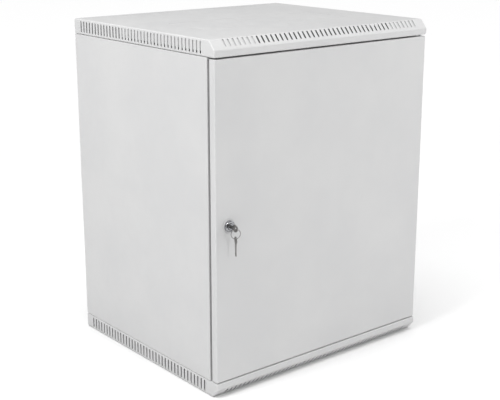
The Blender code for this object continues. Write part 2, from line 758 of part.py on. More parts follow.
def hinge_pins():
    """A sprung upper pin with a finger arm, and a fixed lower pin on a washer."""
    ear = BRACKET_LOW["upper"]
    arm_z = ear - ARM_RADIUS - GAP
    pin = rod("hinge_pin_upper", (*HINGE, arm_z - 2 * MM), (*HINGE, PIN_TOP), PIN_RADIUS, ZINC)
    collar_top = COLLAR_LOW + COLLAR_HEIGHT
    collar = rod("pin_collar", (*HINGE, COLLAR_LOW), (*HINGE, collar_top), COLLAR_RADIUS)
    arm = rod("pin_arm", (*HINGE, arm_z), (HINGE.x - ARM_LENGTH, HINGE.y, arm_z), ARM_RADIUS)
    join(pin, collar, arm)
    spring(ear + FRAME_SHEET + GAP, COLLAR_LOW - GAP)

    seat_low = BRACKET_LOW["lower"] + FRAME_SHEET + GAP
    pin_top = BRACKET_LOW["lower"] + BRACKET_HEIGHT + 5.5 * MM
    fixed = rod("hinge_pin_lower", (*HINGE, PIN_FOOT), (*HINGE, pin_top), PIN_RADIUS, ZINC)
    seat = rod("pin_seat", (*HINGE, seat_low), (*HINGE, seat_low + COLLAR_HEIGHT - GAP), COLLAR_RADIUS)
    join(fixed, seat)

    washer = rod(
        "hinge_washer", (*HINGE, FASCIA + GAP), (*HINGE, DOOR_LOW - GAP), WASHER_RADIUS, PLASTIC, 24
    )
    bore = rod("washer_bore", (*HINGE, FASCIA - MM), (*HINGE, DOOR_LOW + MM), PIN_BORE)
    cut(washer, bore)


def spring(low, high):
    """The coil spring that holds the upper hinge pin up."""
    points_per_turn = 10
    count = SPRING_TURNS * points_per_turn + 1
    curve = bpy.data.curves.new("hinge_spring", "CURVE")
    curve.dimensions = "3D"
    curve.bevel_depth = SPRING_WIRE
    curve.bevel_resolution = 1
    curve.use_fill_caps = True
    line = curve.splines.new("POLY")
    line.points.add(count - 1)
    for i, point in enumerate(line.points):
        angle = 2 * math.pi * i / points_per_turn
        rise = low + SPRING_WIRE + (high - low - 2 * SPRING_WIRE) * i / (count - 1)
        x = HINGE.x + SPRING_RADIUS * math.cos(angle)
        y = HINGE.y + SPRING_RADIUS * math.sin(angle)
        point.co = (x, y, rise, 1)
    coil = bpy.data.objects.new("hinge_spring", curve)
    curve.materials.append(ZINC)
    PARTS.objects.link(coil)
    return coil


# ---------------------------------------------------------------- lock and keys
def lock():
    axis = Vector((LOCK.x, 0, LOCK.z))
    face = FRONT - GAP
    rim = face - 1.3 * MM
    inner = LOCK_BARREL + 0.4 * MM
    turned(
        "lock_escutcheon",
        [(inner, face), (ESCUTCHEON_RADIUS, face), (ESCUTCHEON_RADIUS - 1 * MM, rim), (inner, rim)],
        axis, PLASTIC,
    )
    head_back = rim - GAP
    head_front = head_back - 4.6 * MM
    rear = POST_FRONT + FRAME_SHEET + 0.2 * MM
    turned(
        "lock_housing",
        [
            (PLUG_BORE, rear), (LOCK_BARREL, rear), (LOCK_BARREL, head_back), (LOCK_HEAD, head_back),
            (LOCK_HEAD, head_front + 1.2 * MM), (LOCK_HEAD - 1.2 * MM, head_front),
            (PLUG_BORE, head_front),
        ],
        axis, CHROME,
    )
    nut_front = FRONT + SHEET + GAP
    nut_back = nut_front + LOCK_NUT_HEIGHT
    nut = rod("lock_nut", lock_spot(nut_front), lock_spot(nut_back), LOCK_NUT_RADIUS, ZINC, 6)
    thread = rod(
        "lock_nut_thread", lock_spot(nut_front - MM), lock_spot(nut_back + MM), LOCK_BARREL + GAP,
        sides=24,
    )
    cut(nut, thread)
    lock_cylinder(head_front - 0.5 * MM, rear)


def lock_spot(y):
    return (LOCK.x, y, LOCK.z)


def lock_cylinder(front, rear):
    """The plug that the key turns, with the cam and its screw on the plug's square tang."""
    plug = rod("lock_cylinder", lock_spot(front), lock_spot(rear + GAP), PLUG_RADIUS, CHROME, 24)
    cam_front = rear + 2 * GAP
    cam_back = cam_front + CAM_THICKNESS
    tang = box(
        "lock_tang", (LOCK.x - TANG_HALF, rear - 2 * MM, LOCK.z - TANG_HALF),
        (LOCK.x + TANG_HALF, cam_back - 0.2 * MM, LOCK.z + TANG_HALF),
    )
    keyway = box(
        "lock_keyway", (LOCK.x - KEYWAY_HALF[0], front - MM, LOCK.z - KEYWAY_HALF[1]),
        (LOCK.x + KEYWAY_HALF[0], KEY_TIP_Y + 1 * MM, LOCK.z + KEYWAY_HALF[1]),
    )
    bore_radius = CAM_SCREW[0] + GAP
    bore = rod("lock_screw_bore", lock_spot(cam_back - 9 * MM), lock_spot(cam_back + MM), bore_radius)
    join(plug, tang)
    cut(plug, keyway, bore)
    cam(cam_front, cam_back, TANG_HALF + GAP)
    headed_bolt("lock_cam_screw", lock_spot(cam_back + GAP), (0, -1, 0), 8 * MM, CAM_SCREW)


def cam(front, back, hole_half):
    """A flat tongue that hangs down when unlocked and reaches behind the post when turned."""
    steps = 8
    tip = 3 * MM
    outline = []
    for i in range(steps + 1):
        angle = math.pi * i / steps
        outline.append((LOCK.x + CAM_RADIUS * math.cos(angle), LOCK.z + CAM_RADIUS * math.sin(angle)))
    foot = LOCK.z - CAM_REACH
    outline += [
        (LOCK.x - CAM_RADIUS, foot + tip), (LOCK.x - CAM_RADIUS + tip, foot),
        (LOCK.x + CAM_RADIUS - tip, foot), (LOCK.x + CAM_RADIUS, foot + tip),
    ]
    matrix = Matrix.Translation((0, (front + back) / 2, 0)) @ FRONT_VIEW
    tongue = flat_plate("lock_cam", outline, back - front, matrix, ZINC)
    hole = box(
        "lock_cam_hole", (LOCK.x - hole_half, front - MM, LOCK.z - hole_half),
        (LOCK.x + hole_half, back + MM, LOCK.z + hole_half),
    )
    return cut(tongue, hole)


def key_outline():
    """A flat key as (along, across), from the middle of its bow towards the tip of its blade."""
    steps = 20
    meet = math.asin(BLADE_HALF / BOW_RADIUS)
    outline = []
    for i in range(steps + 1):
        angle = meet + i * (2 * math.pi - 2 * meet) / steps
        outline.append((BOW_RADIUS * math.cos(angle), BOW_RADIUS * math.sin(angle)))
    tip = KEY_LENGTH - BOW_RADIUS
    outline += [(tip - 2 * MM, -BLADE_HALF), (tip, -BLADE_HALF + 2 * MM), (tip, BLADE_HALF - 2 * MM)]
    outline.append((tip - 2 * MM, BLADE_HALF))
    for i, depth in reversed(list(enumerate(CUT_DEPTHS))):
        middle = FIRST_CUT + i * CUT_PITCH
        outline += [
            (middle + 1.2 * MM, BLADE_HALF), (middle + 0.4 * MM, BLADE_HALF - depth),
            (middle - 0.4 * MM, BLADE_HALF - depth), (middle - 1.2 * MM, BLADE_HALF),
        ]
    return outline


def key(name, matrix):
    """A key whose local +X runs from bow to tip, with its flat face across local Z."""
    blank = flat_plate(name, key_outline(), KEY_THICKNESS, matrix, KEY_STEEL)
    start = matrix @ Vector((-BOW_HOLE_OFFSET, 0, -3 * MM))
    end = matrix @ Vector((-BOW_HOLE_OFFSET, 0, 3 * MM))
    return cut(blank, rod(name + "_eye", start, end, BOW_HOLE_RADIUS))


def keys():
    """One key in the lock, and a spare that hangs from it on a ring."""
    bow_y = KEY_TIP_Y - (KEY_LENGTH - BOW_RADIUS)
    # Columns: where the key's local X, Y and Z point in the row frame
    in_lock = Matrix(((0, 0, 1, LOCK.x), (1, 0, 0, bow_y), (0, 1, 0, LOCK.z), (0, 0, 0, 1)))
    key("door_key", in_lock)
    ring_y = bow_y - BOW_HOLE_OFFSET
    ring_z = LOCK.z - HOLE_SLACK - RING_RADIUS

    bpy.ops.mesh.primitive_torus_add(
        major_radius=RING_RADIUS, minor_radius=RING_WIRE, major_segments=28, minor_segments=8,
        location=(LOCK.x, ring_y, ring_z), rotation=(math.pi / 2, 0, RING_TURN),
    )
    ring = bpy.context.object
    ring.name = "key_ring"
    for collection in list(ring.users_collection):
        collection.objects.unlink(ring)
    PARTS.objects.link(ring)
    ring.data.materials.append(KEY_STEEL)
    ring.data.shade_smooth()

    eye_z = ring_z - RING_RADIUS - HOLE_SLACK
    bow_z = eye_z - BOW_HOLE_OFFSET
    downwards = Matrix(((0, 0, 1, 0), (0, 1, 0, 0), (-1, 0, 0, 0), (0, 0, 0, 1)))
    turn = Matrix.Rotation(RING_TURN, 4, "Z")
    key("spare_key", Matrix.Translation((LOCK.x, ring_y, bow_z)) @ turn @ downwards)


# ---------------------------------------------------------------- joints
def joints():
    """The door turns and carries the lock, the keys and the sprung pin. The mounting rails slide in depth."""
    door_parts = [
        "door_panel", "door_stiffener", "hinge_bracket_lower", "hinge_bracket_upper", "hinge_pin_lower",
        "hinge_washer", "hinge_spring", "lock_escutcheon", "lock_housing", "lock_nut", "earth_stud_door",
    ]
    door = joint("door_hinge_axis", (*HINGE, LOCK.z), (0, 0, 1), door_parts)
    joint("hinge_pin_axis", (*HINGE, COLLAR_LOW), (0, 0, -1), ["hinge_pin_upper"], door)
    plug_parts = ["lock_cylinder", "lock_cam", "lock_cam_screw"]
    plug = joint("lock_axis", lock_spot(FRONT), (0, 1, 0), plug_parts, door)
    bow_y = KEY_TIP_Y - (KEY_LENGTH - BOW_RADIUS)
    key_axis = joint("key_axis", lock_spot(bow_y), (0, -1, 0), ["door_key"], plug)
    eye = Vector((LOCK.x, bow_y - BOW_HOLE_OFFSET, LOCK.z - HOLE_SLACK))
    across = Vector((math.cos(RING_TURN), math.sin(RING_TURN), 0))
    ring = joint("ring_axis", eye, across, ["key_ring"], key_axis)
    middle = eye - Vector((0, 0, RING_RADIUS))
    through = Vector((-math.sin(RING_TURN), math.cos(RING_TURN), 0))
    joint("spare_key_axis", middle, through, ["spare_key"], ring)
    for word, side in (("left", -1), ("right", 1)):
        clamps = [f"rail_{kind}_{word}_{level}" for kind in ("bolt", "nut") for level in DEPTH_RAIL_Z]
        point = (side * RAIL_OUT, RAIL_BOLT_Y, HEIGHT / 2)
        joint(f"{word}_rail_axis", point, (0, 1, 0), [f"mounting_rail_{word}", *clamps])


# ---------------------------------------------------------------- assembly
def build():
    upside_down = Matrix.Translation((0, 0, HEIGHT)) @ Matrix.Rotation(math.pi, 4, "Y")
    tray_set("base", Matrix.Identity(4))
    tray_set("roof", upside_down)
    back_panel()
    for word, side in (("left", -1), ("right", 1)):
        side_panel(word, side)
        front_post(word, side)
        mounting_rail(word, side)
        for level, z in DEPTH_RAIL_Z.items():
            depth_rail(word, side, level, z)
    frame_fasteners()
    door_bumpers()
    earth_stud("earth_stud_frame", FRAME_STUD, (0, -1, 0))
    earth_stud("earth_stud_door", DOOR_STUD, (0, 1, 0))
    door_panel()
    door_stiffener()
    hinge_bracket("lower")
    hinge_bracket("upper")
    hinge_pins()
    lock()
    keys()
    joints()


build()
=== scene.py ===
"""Looks of the wall-mount network rack cabinet.

Folded and punched powder-coated sheet, plated fittings, a lock and its keys.

Everything is in metres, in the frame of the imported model: +X to the right of someone facing the
door, +Y back, +Z up.
"""

import json
import math

import bmesh
import bpy
from mathutils import Matrix, Vector

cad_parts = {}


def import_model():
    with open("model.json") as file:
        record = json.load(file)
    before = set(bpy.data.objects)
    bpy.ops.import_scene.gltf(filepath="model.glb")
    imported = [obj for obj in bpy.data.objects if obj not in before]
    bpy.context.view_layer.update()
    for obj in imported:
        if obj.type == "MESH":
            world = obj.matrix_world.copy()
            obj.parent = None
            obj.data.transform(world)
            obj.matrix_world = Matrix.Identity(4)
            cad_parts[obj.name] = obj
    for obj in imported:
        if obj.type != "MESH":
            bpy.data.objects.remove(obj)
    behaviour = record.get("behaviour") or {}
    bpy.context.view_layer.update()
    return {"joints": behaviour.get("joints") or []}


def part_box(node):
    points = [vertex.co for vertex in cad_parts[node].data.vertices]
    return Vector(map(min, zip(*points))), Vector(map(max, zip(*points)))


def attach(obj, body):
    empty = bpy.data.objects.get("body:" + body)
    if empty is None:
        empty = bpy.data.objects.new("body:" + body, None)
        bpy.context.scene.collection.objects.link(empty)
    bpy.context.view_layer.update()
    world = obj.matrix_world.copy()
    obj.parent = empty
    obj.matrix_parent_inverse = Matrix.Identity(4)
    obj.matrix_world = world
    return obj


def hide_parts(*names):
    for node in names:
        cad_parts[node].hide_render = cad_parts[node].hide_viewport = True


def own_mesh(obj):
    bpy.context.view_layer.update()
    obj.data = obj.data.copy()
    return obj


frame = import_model()

MM = 0.001
QUARTER = math.pi / 2

# ---------------------------------------------------------------- sizes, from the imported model
BASE_LOW, BASE_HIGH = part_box("base")
ROOF_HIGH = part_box("roof")[1]
FRONT, BACK = BASE_LOW.y, BASE_HIGH.y
HALF = BASE_HIGH.x
HEIGHT = ROOF_HIGH.z
FASCIA = BASE_HIGH.z
DOOR_LOW, DOOR_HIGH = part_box("door_panel")
PIN_LOW, PIN_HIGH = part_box("hinge_pin_upper")
BRACKET_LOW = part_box("hinge_bracket_upper")[0]
HEAD_LOW, HEAD_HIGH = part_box("lock_housing")
LOCK = Vector(((HEAD_LOW.x + HEAD_HIGH.x) / 2, 0, (HEAD_LOW.z + HEAD_HIGH.z) / 2))

SHEET = 1.2 * MM
FRAME_SHEET = 1.5 * MM
PANEL_SHEET = 1.0 * MM
HINGE = Vector((DOOR_HIGH.x - 9 * MM, FRONT + 9 * MM))
HINGE_AXIS = Matrix.Translation((*HINGE, 0))

# Trays: the sloping front and the inward flanges
LIP = 14.4 * MM
SLOPE_RUN = 17 * MM
SLOPE_DROP = FASCIA - LIP
SLOPE_LENGTH = math.hypot(SLOPE_RUN, SLOPE_DROP)
FLANGE_FRONT = 24 * MM
FLANGE_SIDE = 20 * MM
FLANGE_REAR = 16 * MM

SLOT_RADIUS = 2 * MM
SIDE_SLOTS = 38
SIDE_SLOT_PITCH = 12.1 * MM
SIDE_SLOT_MIDDLE = 7.4 * MM
FIRST_SIDE_SLOT = SIDE_SLOT_MIDDLE - (SIDE_SLOTS - 1) * SIDE_SLOT_PITCH / 2
SIDE_SLOT_LENGTH = 25 * MM
FRONT_SLOTS = 45
FRONT_SLOT_PITCH = 12.15 * MM
FRONT_SLOT_LENGTH = 18 * MM
FRONT_SLOT_START = 1.2 * MM
RIM = 0.3 * MM  # how far a punched hole's rim is rounded

RACK_UNITS = 15
UNIT = 44.45 * MM
HOLE_HEIGHTS = (6.35 * MM, 22.225 * MM, 38.1 * MM)
HOLE_SIDE = 9.5 * MM
HOLE_X = 465.1 * MM / 2


SIDES = (("left", -1), ("right", 1))


# ---------------------------------------------------------------- objects and baking
def new_object(name, mesh):
    obj = bpy.data.objects.new(name, mesh)
    bpy.context.scene.collection.objects.link(obj)
    return obj


def mesh_from(name, fill):
    mesh = bpy.data.meshes.new(name)
    work = bmesh.new()
    fill(work)
    bmesh.ops.recalc_face_normals(work, faces=work.faces)
    work.to_mesh(mesh)
    work.free()
    return mesh


def add_cube(work, low, high):
    low = Vector(low)
    high = Vector(high)
    size = Matrix.Diagonal((*(high - low), 1))
    bmesh.ops.create_cube(work, size=1, matrix=Matrix.Translation((low + high) / 2) @ size)


def box(name, low, high):
    return new_object(name, mesh_from(name, lambda work: add_cube(work, low, high)))


def evaluated_mesh(obj):
    bpy.context.view_layer.update()
    graph = bpy.context.evaluated_depsgraph_get()
    mesh = bpy.data.meshes.new_from_object(
        obj.evaluated_get(graph), preserve_all_data_layers=True, depsgraph=graph
    )
    mesh.name = obj.name
    return mesh


def bake(obj, *helpers):
    """Makes what the modifiers give the object's own mesh, and removes them and the helpers they used."""
    helpers = set(helpers) | {m.object for m in obj.modifiers if m.type == "BOOLEAN"}
    mesh = evaluated_mesh(obj)
    obj.modifiers.clear()
    obj.data = mesh
    for helper in helpers:
        bpy.data.objects.remove(helper)
    return obj


def change(target, operation, others):
    for other in others:
        modifier = target.modifiers.new(operation.lower() + " " + other.name, "BOOLEAN")
        modifier.operation = operation
        modifier.object = other
        modifier.solver = "EXACT"
        other.hide_render = True
    return target


def cut(target, *cutters):
    return change(target, "DIFFERENCE", cutters)


def join(target, *others):
    return change(target, "UNION", others)


def merged(name, *objects):
    """One object that holds all of these meshes as they stand."""
    work = bmesh.new()
    for obj in objects:
        work.from_mesh(obj.data)
        bpy.data.objects.remove(obj)
    mesh = bpy.data.meshes.new(name)
    work.to_mesh(mesh)
    work.free()
    return new_object(name, mesh)


def copied(obj, name, matrix):
    """A copy of the object's mesh in another place. A mirrored one has its faces turned back outwards."""
    mesh = obj.data.copy()
    mesh.name = name
    mesh.transform(matrix)
    if matrix.determinant() < 0:
        mesh.flip_normals()
    return new_object(name, mesh)


MIRROR_X = Matrix.Diagonal((-1, 1, 1, 1))


# ---------------------------------------------------------------- outlines and lofts
def rounded(points, radius, closed=True, steps=4):
    """The points of a path with each corner made an arc. Each corner's arc starts and ends on its sides."""
    corners = [Vector(point) for point in points]
    count = len(corners)
    path = []
    for i, corner in enumerate(corners):
        if not closed and i in (0, count - 1):
            path.append(corner)
            continue
        to_before = corners[i - 1] - corner
        to_after = corners[(i + 1) % count] - corner
        opening = to_before.angle(to_after)
        fits = 0.49 * min(to_before.length, to_after.length) * math.tan(opening / 2)
        size = min(radius, fits)
        reach = size / math.tan(opening / 2)
        start = corner + to_before.normalized() * reach
        end = corner + to_after.normalized() * reach
        middle = corner + (to_before.normalized() + to_after.normalized()).normalized() * (
            size / math.sin(opening / 2)
        )
        for k in range(steps + 1):
            blend = start.lerp(end, k / steps) - middle
            path.append(middle + blend.normalized() * size)
    return path


def grown(outline, distance):
    """A closed outline moved outwards by distance, for either direction of travel."""
    count = len(outline)
    points = [Vector(point) for point in outline]
    area = sum(points[i - 1].cross(points[i]) for i in range(count))
    turn = 1 if area > 0 else -1
    moved = []
    for i, point in enumerate(points):
        before = (point - points[i - 1]).normalized()
        after = (points[(i + 1) % count] - point).normalized()
        outward = Vector((before.y + after.y, -before.x - after.x)) * turn
        share = 1 + before.dot(after)
        moved.append(point + outward * (distance / max(share, 0.5)))
    return moved


def loft(name, rings, matrix=None, loop=False):
    """A closed solid through rings of (x, y, z) points.

    loop joins the last ring to the first, and has no caps.
    """

    def fill(work):
        verts = [[work.verts.new(point) for point in ring] for ring in rings]
        count = len(rings[0])
        pairs = list(zip(verts, verts[1:]))
        if loop:
            pairs.append((verts[-1], verts[0]))
        else:
            work.faces.new(verts[0])
            work.faces.new(verts[-1])
        for low, high in pairs:
            for i in range(count):
                j = (i + 1) % count
                work.faces.new((low[i], low[j], high[j], high[i]))
        if matrix is not None:
            bmesh.ops.transform(work, matrix=matrix, verts=work.verts)

    return new_object(name, mesh_from(name, fill))


def level(outline, height):
    return [(u, v, height) for u, v in outline]


def slab(name, outline, low, high, matrix=None, edge=0.0):
    """A flat outline made thick from low to high, with its edges eased by edge."""
    if edge <= 0:
        return loft(name, [level(outline, low), level(outline, high)], matrix)
    inner = grown(outline, -edge)
    rings = [level(inner, low), level(outline, low + edge)]
    rings += [level(outline, high - edge), level(inner, high)]
    return loft(name, rings, matrix)


def circle(radius, count):
    step = 2 * math.pi / count
    return [(radius * math.cos(i * step), radius * math.sin(i * step)) for i in range(count)]


def turned(name, profile, matrix, count=40, loop=False):
    """A (radius, height) profile turned about the local Z axis."""
    return loft(name, [level(circle(r, count), h) for r, h in profile], matrix, loop)


def arc(radius, first, sweep, steps, centre=(0, 0)):
    """Points on an arc from the angle first through sweep, with both its ends."""
    angles = [first + sweep * i / steps for i in range(steps + 1)]
    return [(centre[0] + radius * math.cos(a), centre[1] + radius * math.sin(a)) for a in angles]


def rectangle(low_u, low_v, high_u, high_v):
    return [(low_u, low_v), (high_u, low_v), (high_u, high_v), (low_u, high_v)]


def sheet_outline(middle, thickness, bend, steps=5):
    """The cross-section of a folded sheet that follows a middle line, bent to the given middle radius."""
    path = rounded(middle, bend, closed=False, steps=steps)
    left = []
    right = []
    for i, point in enumerate(path):
        before = (point - path[i - 1]).normalized() if i else None
        after = (path[i + 1] - point).normalized() if i + 1 < len(path) else None
        along = ((before or after) + (after or before)).normalized()
        half = thickness / 2 / max(along.dot(after or before), 0.5)
        side = Vector((-along.y, along.x)) * half
        left.append(point + side)
        right.append(point - side)
    return left + right[::-1]


def along_axis(axis, place=(0, 0, 0)):
    """The matrix that stands local +Z along an axis."""
    turn = Vector(axis).to_track_quat("Z", "Y").to_matrix().to_4x4()
    return Matrix.Translation(place) @ turn


# Local (x, y, z) to the row frame's (y, z, x), and to its (x, z, -y)
SIDE_VIEW = Matrix(((0, 0, 1, 0), (1, 0, 0, 0), (0, 1, 0, 0), (0, 0, 0, 1)))
FRONT_VIEW = Matrix(((1, 0, 0, 0), (0, 0, -1, 0), (0, 1, 0, 0), (0, 0, 0, 1)))


def bent_solid(name, fill, radius_of, less=0.0, steps=4):
    """A solid whose edges are rounded by radius_of(edge), less a length for a sheet's inner side."""
    largest = 6 * MM

    def weighted(work):
        fill(work)
        bmesh.ops.recalc_face_normals(work, faces=work.faces)
        weight = work.edges.layers.float.new("bevel_weight_edge")
        for edge in work.edges:
            radius = max(radius_of(edge) - less, 0.15 * MM)
            edge[weight] = radius * math.tan(edge.calc_face_angle() / 2) / largest

    obj = new_object(name, mesh_from(name, weighted))
    bevel = obj.modifiers.new("bends", "BEVEL")
    bevel.limit_method = "WEIGHT"
    bevel.width = largest
    bevel.segments = steps
    return bake(obj)


# ---------------------------------------------------------------- geometry node trees
def geometry_tree(name, *inputs):
    """A new geometry node tree with these (label, kind) inputs and a Finish, and its input sockets."""
    tree = bpy.data.node_groups.new(name, "GeometryNodeTree")
    for label, kind in (*inputs, ("Finish", "Material")):
        tree.interface.new_socket(label, in_out="INPUT", socket_type="NodeSocket" + kind)
    tree.interface.new_socket("Geometry", in_out="OUTPUT", socket_type="NodeSocketGeometry")
    return tree, tree.nodes.new("NodeGroupInput").outputs


def add(tree, kind, inputs=None, **settings):
    """A node with its settings, and with each input set to a value or linked to a socket."""
    made = tree.nodes.new(kind)
    for key, value in settings.items():
        setattr(made, key, value)
    for key, value in (inputs or {}).items():
        if isinstance(value, bpy.types.NodeSocket):
            tree.links.new(value, made.inputs[key])
        else:
            made.inputs[key].default_value = value
    return made


def finished_tree(tree, given, geometry):
    """Ends a tree: its instances are made real and take the finish."""
    real = add(tree, "GeometryNodeRealizeInstances", {"Geometry": geometry})
    painted = add(tree, "GeometryNodeSetMaterial", {
        "Geometry": real.outputs["Geometry"], "Material": given["Finish"],
    })
    add(tree, "NodeGroupOutput", {"Geometry": painted.outputs["Geometry"]})
    return tree


def punched_row_tree():
    """Takes a punch from the sheet at each point of a straight row."""
    tree, given = geometry_tree(
        "row of punched holes", ("Geometry", "Geometry"), ("Punch", "Object"), ("Holes", "Int"),
        ("Start", "Vector"), ("Pitch", "Vector"),
    )
    row = add(tree, "GeometryNodeMeshLine", {
        "Count": given["Holes"], "Start Location": given["Start"], "Offset": given["Pitch"],
    }, mode="OFFSET")
    punch = add(tree, "GeometryNodeObjectInfo", {"Object": given["Punch"]})
    stood = add(tree, "GeometryNodeInstanceOnPoints", {
        "Points": row.outputs["Mesh"], "Instance": punch.outputs["Geometry"],
    })
    real = add(tree, "GeometryNodeRealizeInstances", {"Geometry": stood.outputs["Instances"]})
    holed = add(tree, "GeometryNodeMeshBoolean", {
        "Mesh 1": given["Geometry"], "Mesh 2": real.outputs["Geometry"],
    }, operation="DIFFERENCE", solver="EXACT")
    return finished_tree(tree, given, holed.outputs["Mesh"])


def fittings_tree():
    """Stands a copy of a fitting on each vertex, turned by the vertex's own turn."""
    tree, given = geometry_tree(
        "fittings in their places", ("Geometry", "Geometry"), ("Fitting", "Object")
    )
    fitting = add(tree, "GeometryNodeObjectInfo", {"Object": given["Fitting"]})
    turn = add(tree, "GeometryNodeInputNamedAttribute", {"Name": "turn"}, data_type="FLOAT_VECTOR")
    rotation = add(tree, "FunctionNodeEulerToRotation", {"Euler": turn.outputs["Attribute"]})
    stood = add(tree, "GeometryNodeInstanceOnPoints", {
        "Points": given["Geometry"], "Instance": fitting.outputs["Geometry"],
        "Rotation": rotation.outputs["Rotation"],
    })
    return finished_tree(tree, given, stood.outputs["Instances"])


def coil_tree():
    """A coil of round wire that climbs along +Z from the origin."""
    sizes = ("Turns", "Radius", "Height", "Wire")
    tree, given = geometry_tree("coil of wire", *((label, "Float") for label in sizes))
    line = add(tree, "GeometryNodeCurveSpiral", {
        "Resolution": 24, "Rotations": given["Turns"], "Start Radius": given["Radius"],
        "End Radius": given["Radius"], "Height": given["Height"],
    })
    wire = add(tree, "GeometryNodeCurvePrimitiveCircle", {"Resolution": 10, "Radius": given["Wire"]})
    skin = add(tree, "GeometryNodeCurveToMesh", {
        "Curve": line.outputs["Curve"], "Profile Curve": wire.outputs["Curve"], "Fill Caps": True,
    })
    return finished_tree(tree, given, skin.outputs["Mesh"])


PUNCHED_ROW = punched_row_tree()
FITTINGS = fittings_tree()
COIL = coil_tree()


def add_tree(obj, tree, values):
    """Adds a geometry nodes modifier, with each input set by its socket's identifier."""
    modifier = obj.modifiers.new(tree.name, "NODES")
    modifier.node_group = tree
    for item in tree.interface.items_tree:
        if item.in_out == "INPUT" and item.name in values:
            modifier[item.identifier] = values[item.name]
    return modifier


def punch_row(obj, punch, holes, start, pitch, finish):
    punch.hide_render = True
    add_tree(obj, PUNCHED_ROW, {
        "Punch": punch, "Holes": holes, "Start": start, "Pitch": pitch, "Finish": finish,
    })


def fittings(name, fitting, places, finish):
    """Copies of a fitting at (place, axis) pairs, its local +Z along the axis, as one mesh."""
    mesh = bpy.data.meshes.new(name)
    mesh.from_pydata([place for place, _ in places], [], [])
    turns = mesh.attributes.new("turn", "FLOAT_VECTOR", "POINT")
    for item, (_, axis) in zip(turns.data, places):
        item.vector = along_axis(axis).to_euler()
    obj = new_object(name, mesh)
    add_tree(obj, FITTINGS, {"Fitting": fitting, "Finish": finish})
    return bake(obj)


# ---------------------------------------------------------------- shader node groups
def shader_group(name, inputs, outputs):
    """A shader node group with (label, default) inputs. A default of three numbers makes a vector."""
    tree = bpy.data.node_groups.new(name, "ShaderNodeTree")
    for label, default in inputs:
        kind = "NodeSocketVector" if isinstance(default, tuple) else "NodeSocketFloat"
        socket = tree.interface.new_socket(label, in_out="INPUT", socket_type=kind)
        socket.default_value = default
    for label in outputs:
        tree.interface.new_socket(label, in_out="OUTPUT", socket_type="NodeSocketFloat")
    return tree, tree.nodes.new("NodeGroupInput").outputs, tree.nodes.new("NodeGroupOutput").inputs


def math_node(tree, operation, *values, clamp=False):
    made = add(tree, "ShaderNodeMath", dict(enumerate(values)), operation=operation)
    made.use_clamp = clamp
    return made.outputs[0]


def vector_math(tree, operation, *values):
    return add(tree, "ShaderNodeVectorMath", dict(enumerate(values)), operation=operation).outputs[0]


def noise(tree, vector, scale, detail=2.0, roughness=0.5):
    made = add(tree, "ShaderNodeTexNoise", {
        "Vector": vector, "Scale": scale, "Detail": detail, "Roughness": roughness,
    })
    return made.outputs[0]


def mapped(tree, value, low, high, to_low, to_high):
    """A value mapped smoothly from one range to another, and held at its ends."""
    made = add(tree, "ShaderNodeMapRange", {
        "Value": value, "From Min": low, "From Max": high, "To Min": to_low, "To Max": to_high,
    }, interpolation_type="SMOOTHSTEP")
    return made.outputs[0]


def powder_skin_group():
    """The skin of baked powder: slow orange peel with a fine grit on it."""
    tree, given, result = shader_group(
        "powder skin",
        [("Vector", (0, 0, 0)), ("Peel Scale", 700.0), ("Grit Scale", 2600.0), ("Grit Share", 0.35)],
        ["Height", "Grit"],
    )
    peel = noise(tree, given["Vector"], given["Peel Scale"], 1.0, 0.4)
    grit = noise(tree, given["Vector"], given["Grit Scale"], 2.0, 0.6)
    rough = math_node(tree, "MULTIPLY", grit, given["Grit Share"])
    tree.links.new(math_node(tree, "ADD", peel, rough), result["Height"])
    tree.links.new(grit, result["Grit"])
    return tree


def handling_group():
    """Slow, blotchy change over a surface, as from uneven curing, wiping and hands."""
    tree, given, result = shader_group(
        "handling marks",
        [("Vector", (0, 0, 0)), ("Scale", 6.0), ("Fine Scale", 60.0)],
        ["Broad", "Fine"],
    )
    broad = noise(tree, given["Vector"], given["Scale"], 3.0, 0.55)
    fine = noise(tree, given["Vector"], given["Fine Scale"], 4.0, 0.6)
    tree.links.new(mapped(tree, broad, 0.3, 0.7, 0.0, 1.0), result["Broad"])
    tree.links.new(mapped(tree, fine, 0.35, 0.75, 0.0, 1.0), result["Fine"])
    return tree


def edge_sheen_group():
    """A mask near the edges of a box, broken up by noise, where a coat is thin: it places the coat's gloss
    and a painted highlight.
    """
    tree, given, result = shader_group(
        "worn edges",
        [("Vector", (0, 0, 0)), ("Low", (0, 0, 0)), ("High", (1, 1, 1)), ("Width", 0.004),
         ("Break Scale", 90.0)],
        ["Mask"],
    )
    from_low = vector_math(tree, "SUBTRACT", given["Vector"], given["Low"])
    from_high = vector_math(tree, "SUBTRACT", given["High"], given["Vector"])
    near = vector_math(tree, "MINIMUM", from_low, from_high)
    parts = add(tree, "ShaderNodeSeparateXYZ", {0: near}).outputs
    total, least, most = (
        math_node(tree, operation, math_node(tree, operation, parts[0], parts[1]), parts[2])
        for operation in ("ADD", "MINIMUM", "MAXIMUM")
    )
    second = math_node(tree, "SUBTRACT", math_node(tree, "SUBTRACT", total, least), most)
    ratio = math_node(tree, "DIVIDE", second, given["Width"])
    band = mapped(tree, ratio, 0.0, 1.0, 1.0, 0.0)
    broken = mapped(tree, noise(tree, given["Vector"], given["Break Scale"], 5.0, 0.65), 0.4, 0.62, 0.25, 1.0)
    tree.links.new(math_node(tree, "MULTIPLY", band, broken, clamp=True), result["Mask"])
    return tree


